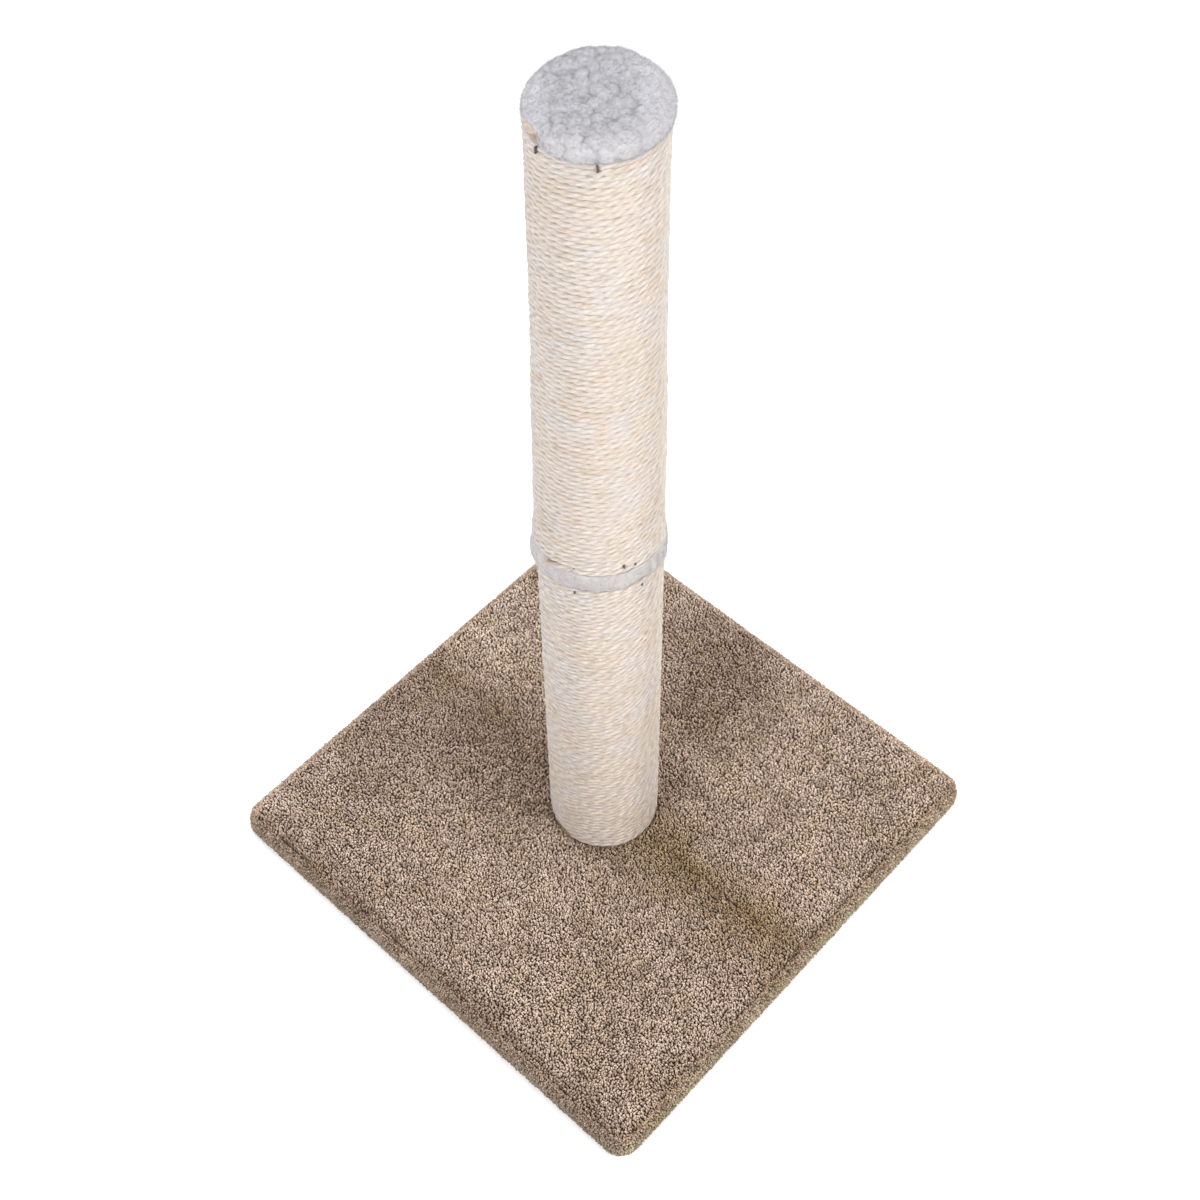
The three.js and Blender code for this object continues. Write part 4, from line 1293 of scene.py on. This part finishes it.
def joint_band():
    rng = np.random.default_rng(950)
    low, high = low_hi.z, band_hi.z
    R = ROPE_R
    outer = rounded([
        (SKIRT + 1.3 * MM, high - 0.05 * MM), (R - 2.4 * MM, high - 0.15 * MM), (R + 0.1 * MM, high - 1.6 * MM), (R + 1.1 * MM, high - 6 * MM),
        (R + 1.2 * MM, low + 7 * MM), (R + 0.6 * MM, low + 2.2 * MM), (R - 0.6 * MM, low + 0.35 * MM), (R - 2.0 * MM, low + 0.3 * MM),
    ])
    skin, nrm = profile_rings(outer, 0.55 * MM)
    if nrm[len(nrm) // 2, 0] < 0:
        nrm = -nrm
    m = 480
    a = np.arange(m) / m * TAU
    ca, sa = np.cos(a), np.sin(a)
    p = np.stack([np.column_stack([ca * r, sa * r, np.full(m, z)]) for r, z in skin]).reshape(-1, 3)
    q = np.stack([nrm[:, None, 0] * ca, nrm[:, None, 0] * sa, np.broadcast_to(nrm[:, None, 1], (len(skin), m))], -1).reshape(-1, 3)
    ang = np.arctan2(p[:, 1], p[:, 0])
    st = xyz(np.cos(ang) * R / (2.6 * MM), np.sin(ang) * R / (2.6 * MM), p[:, 2] / (9 * MM))
    wide = xyz(np.cos(ang) * R / (9 * MM), np.sin(ang) * R / (9 * MM), p[:, 2] / (14 * MM))
    fine = p / (1.2 * MM)
    streak = fbm(st, 951, 2)
    broad = noise(wide, 955)
    mid = smooth(p[:, 2], low, low + 3 * MM) * smooth(-p[:, 2], -high, -high + 2.5 * MM)
    rise = (0.42 * streak + 0.30 * broad + 0.14 * fbm(fine, 957, 2)) * (0.4 + 0.6 * mid) - 0.25
    p = p + q * (rise * MM)[:, None]
    p[:, 2] = np.clip(p[:, 2], low + 0.25 * MM, high)
    deg = np.degrees(ang)
    def at(angle, wide_):
        return np.exp(-((((deg - angle + 180) % 360 - 180) / wide_) ** 2))
    rad = np.hypot(p[:, 0], p[:, 1])
    out_part = smooth(rad, R - 2.2 * MM, R - 0.6 * MM)
    f = np.clip((p[:, 2] - low) / (high - low), 0, 1)
    scallop = 1.1 * noise(xyz(np.cos(ang) * R / (3.6 * MM), np.sin(ang) * R / (3.6 * MM), 0), 959)
    droop = (9.0 * at(138, 28) + 5.0 * at(-54, 24) + 1.4 * at(-175, 22) - 3.0 * at(-99, 9) - 0.9 + scallop) * MM
    lift = (3.6 * at(-104, 24) + 0.9 * at(-160, 20) - 1.0 * at(150, 30)) * MM
    bulge = (2.7 * at(135, 30) + 0.3 * at(-48, 24)) * (np.sin(np.clip(f * 1.5, 0, 1) * math.pi) - 0.6 * smooth(f, 0.62, 0.85)) * MM
    z_new = p[:, 2] - droop * (1 - f) ** 1.5 * out_part + lift * f**2 * out_part
    wide_r = fullness(ang, np.clip(z_new, low, None)) * 0.55 + 0.3 * MM
    over = smooth(z_new - high, -0.5 * MM, 1.0 * MM) * 1.3 * MM + smooth(low - z_new, -1.5 * MM, 0.5 * MM) * 1.5 * MM
    grow = (bulge + wide_r + over) * out_part
    p[:, 0] += np.cos(ang) * grow
    p[:, 1] += np.sin(ang) * grow
    p[:, 2] = z_new
    lo_c, hi_c = srgb(180, 175, 174), srgb(196, 191, 189)
    tint = np.clip(0.62 + 0.45 * streak + 0.25 * broad, 0, 1)
    col = plush_colours(tint, lo_c, hi_c)
    inner = np.array([
        (SKIRT + MM, low + 0.3 * MM), (SKIRT + MM, band_lo.z), (SKIRT, band_lo.z), (SKIRT, high - 3.2 * MM), (4.5 * MM, high - 3.2 * MM),
        (4.5 * MM, high - 0.05 * MM), (20 * MM, high - 0.05 * MM)])
    rest = np.stack([np.column_stack([ca * rr, sa * rr, np.full(m, zz)]) for rr, zz in inner])
    verts = np.concatenate([p, rest.reshape(-1, 3)])
    n = len(skin) + len(inner)
    cols = np.concatenate([col, np.tile(lo_c, (len(inner) * m, 1))])
    cloth = make_piece("joint_band_plush", verts, [rings_quads(n, m, closed_n=True)], MAT["nap"], cols)
    weld(cloth)
    show = (f > 0.03) & (f < 0.97) & (np.hypot(p[:, 0], p[:, 1]) > R - 1 * MM)
    nf = q / np.linalg.norm(q, axis=1, keepdims=True)
    nap = nap_fibres("joint_band_nap", p[show], nf[show], col[show], 13000, (0.9, 2.1), 0.45, 0.55, 961, MAT["plush_fibre"])
    return [cloth, nap]


cap_pieces = top_cap()
band_pieces = joint_band()
for ob in cap_pieces:
    finish_piece(ob, "plush", "upper_plush_cap")
for ob in band_pieces:
    finish_piece(ob, "plush", "lower_plush_cap")


# ------------------------------------------------------------------ staging

def stage():
    n = Nodes("studio_floor")
    co = n.node("ShaderNodeTexCoord").outputs["Object"]
    t = n.noise(co, 3.0, 2.0)
    n.link(n.ramp(t.outputs["Fac"], [(0.3, (0.90, 0.90, 0.90)), (0.7, (0.93, 0.93, 0.93))]), n.bsdf.inputs["Base Color"])
    n.set(Roughness=0.9, Specular_IOR_Level=0.1, Emission_Color=(1, 1, 1, 1), Emission_Strength=0.20)
    me = bpy.data.meshes.new("studio_floor")
    R = 14.0
    v = [(R * math.cos(TAU * i / 64), R * math.sin(TAU * i / 64), 0) for i in range(64)]
    me.from_pydata(v, [], [list(range(64))])
    me.materials.append(n.mat)
    ob = bpy.data.objects.new("studio_floor", me)
    bpy.context.scene.collection.objects.link(ob)
    ob.location.z = -0.0004

    def area(name, at, look, size, power, colour):
        data = bpy.data.lights.new(name, "AREA")
        data.shape = "SQUARE"
        data.size = size
        data.energy = power
        data.color = colour
        o = bpy.data.objects.new(name, data)
        bpy.context.scene.collection.objects.link(o)
        o.location = at
        o.rotation_euler = (Vector(look) - Vector(at)).to_track_quat("-Z", "Y").to_euler()

    area("softbox_right", (0.55, -1.92, 1.85), (0, 0, 0.30), 0.7, 43, (1.0, 0.985, 0.965))
    area("softbox_left", (-2.08, -0.14, 1.72), (0, 0, 0.30), 0.8, 42, (0.985, 0.99, 1.0))
    area("overhead", (0.5, 0.5, 3.2), (0, 0, 0.0), 2.6, 55, (1.0, 1.0, 1.0))
    world = bpy.data.worlds.new("studio")
    bpy.context.scene.world = world
    world.use_nodes = True
    world.node_tree.nodes["Background"].inputs[0].default_value = (1.0, 1.0, 1.0, 1)
    world.node_tree.nodes["Background"].inputs[1].default_value = 0.375
    vs = bpy.context.scene.view_settings
    vs.view_transform = "Standard"
    vs.look = "None"


stage()


# ------------------------------------------------------------------ finish

for name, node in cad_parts.items():
    key = (
        "wire" if "staple" in name else
        "zinc" if any(w in name for w in ("bolt", "washer", "tee_nut", "stud")) else
        "plug" if "plug" in name else
        "board" if name == "base_board" else
        "paper" if "tube" in name else None
    )
    if key:
        for slot_ in node.material_slots:
            slot_.material = MAT[key]
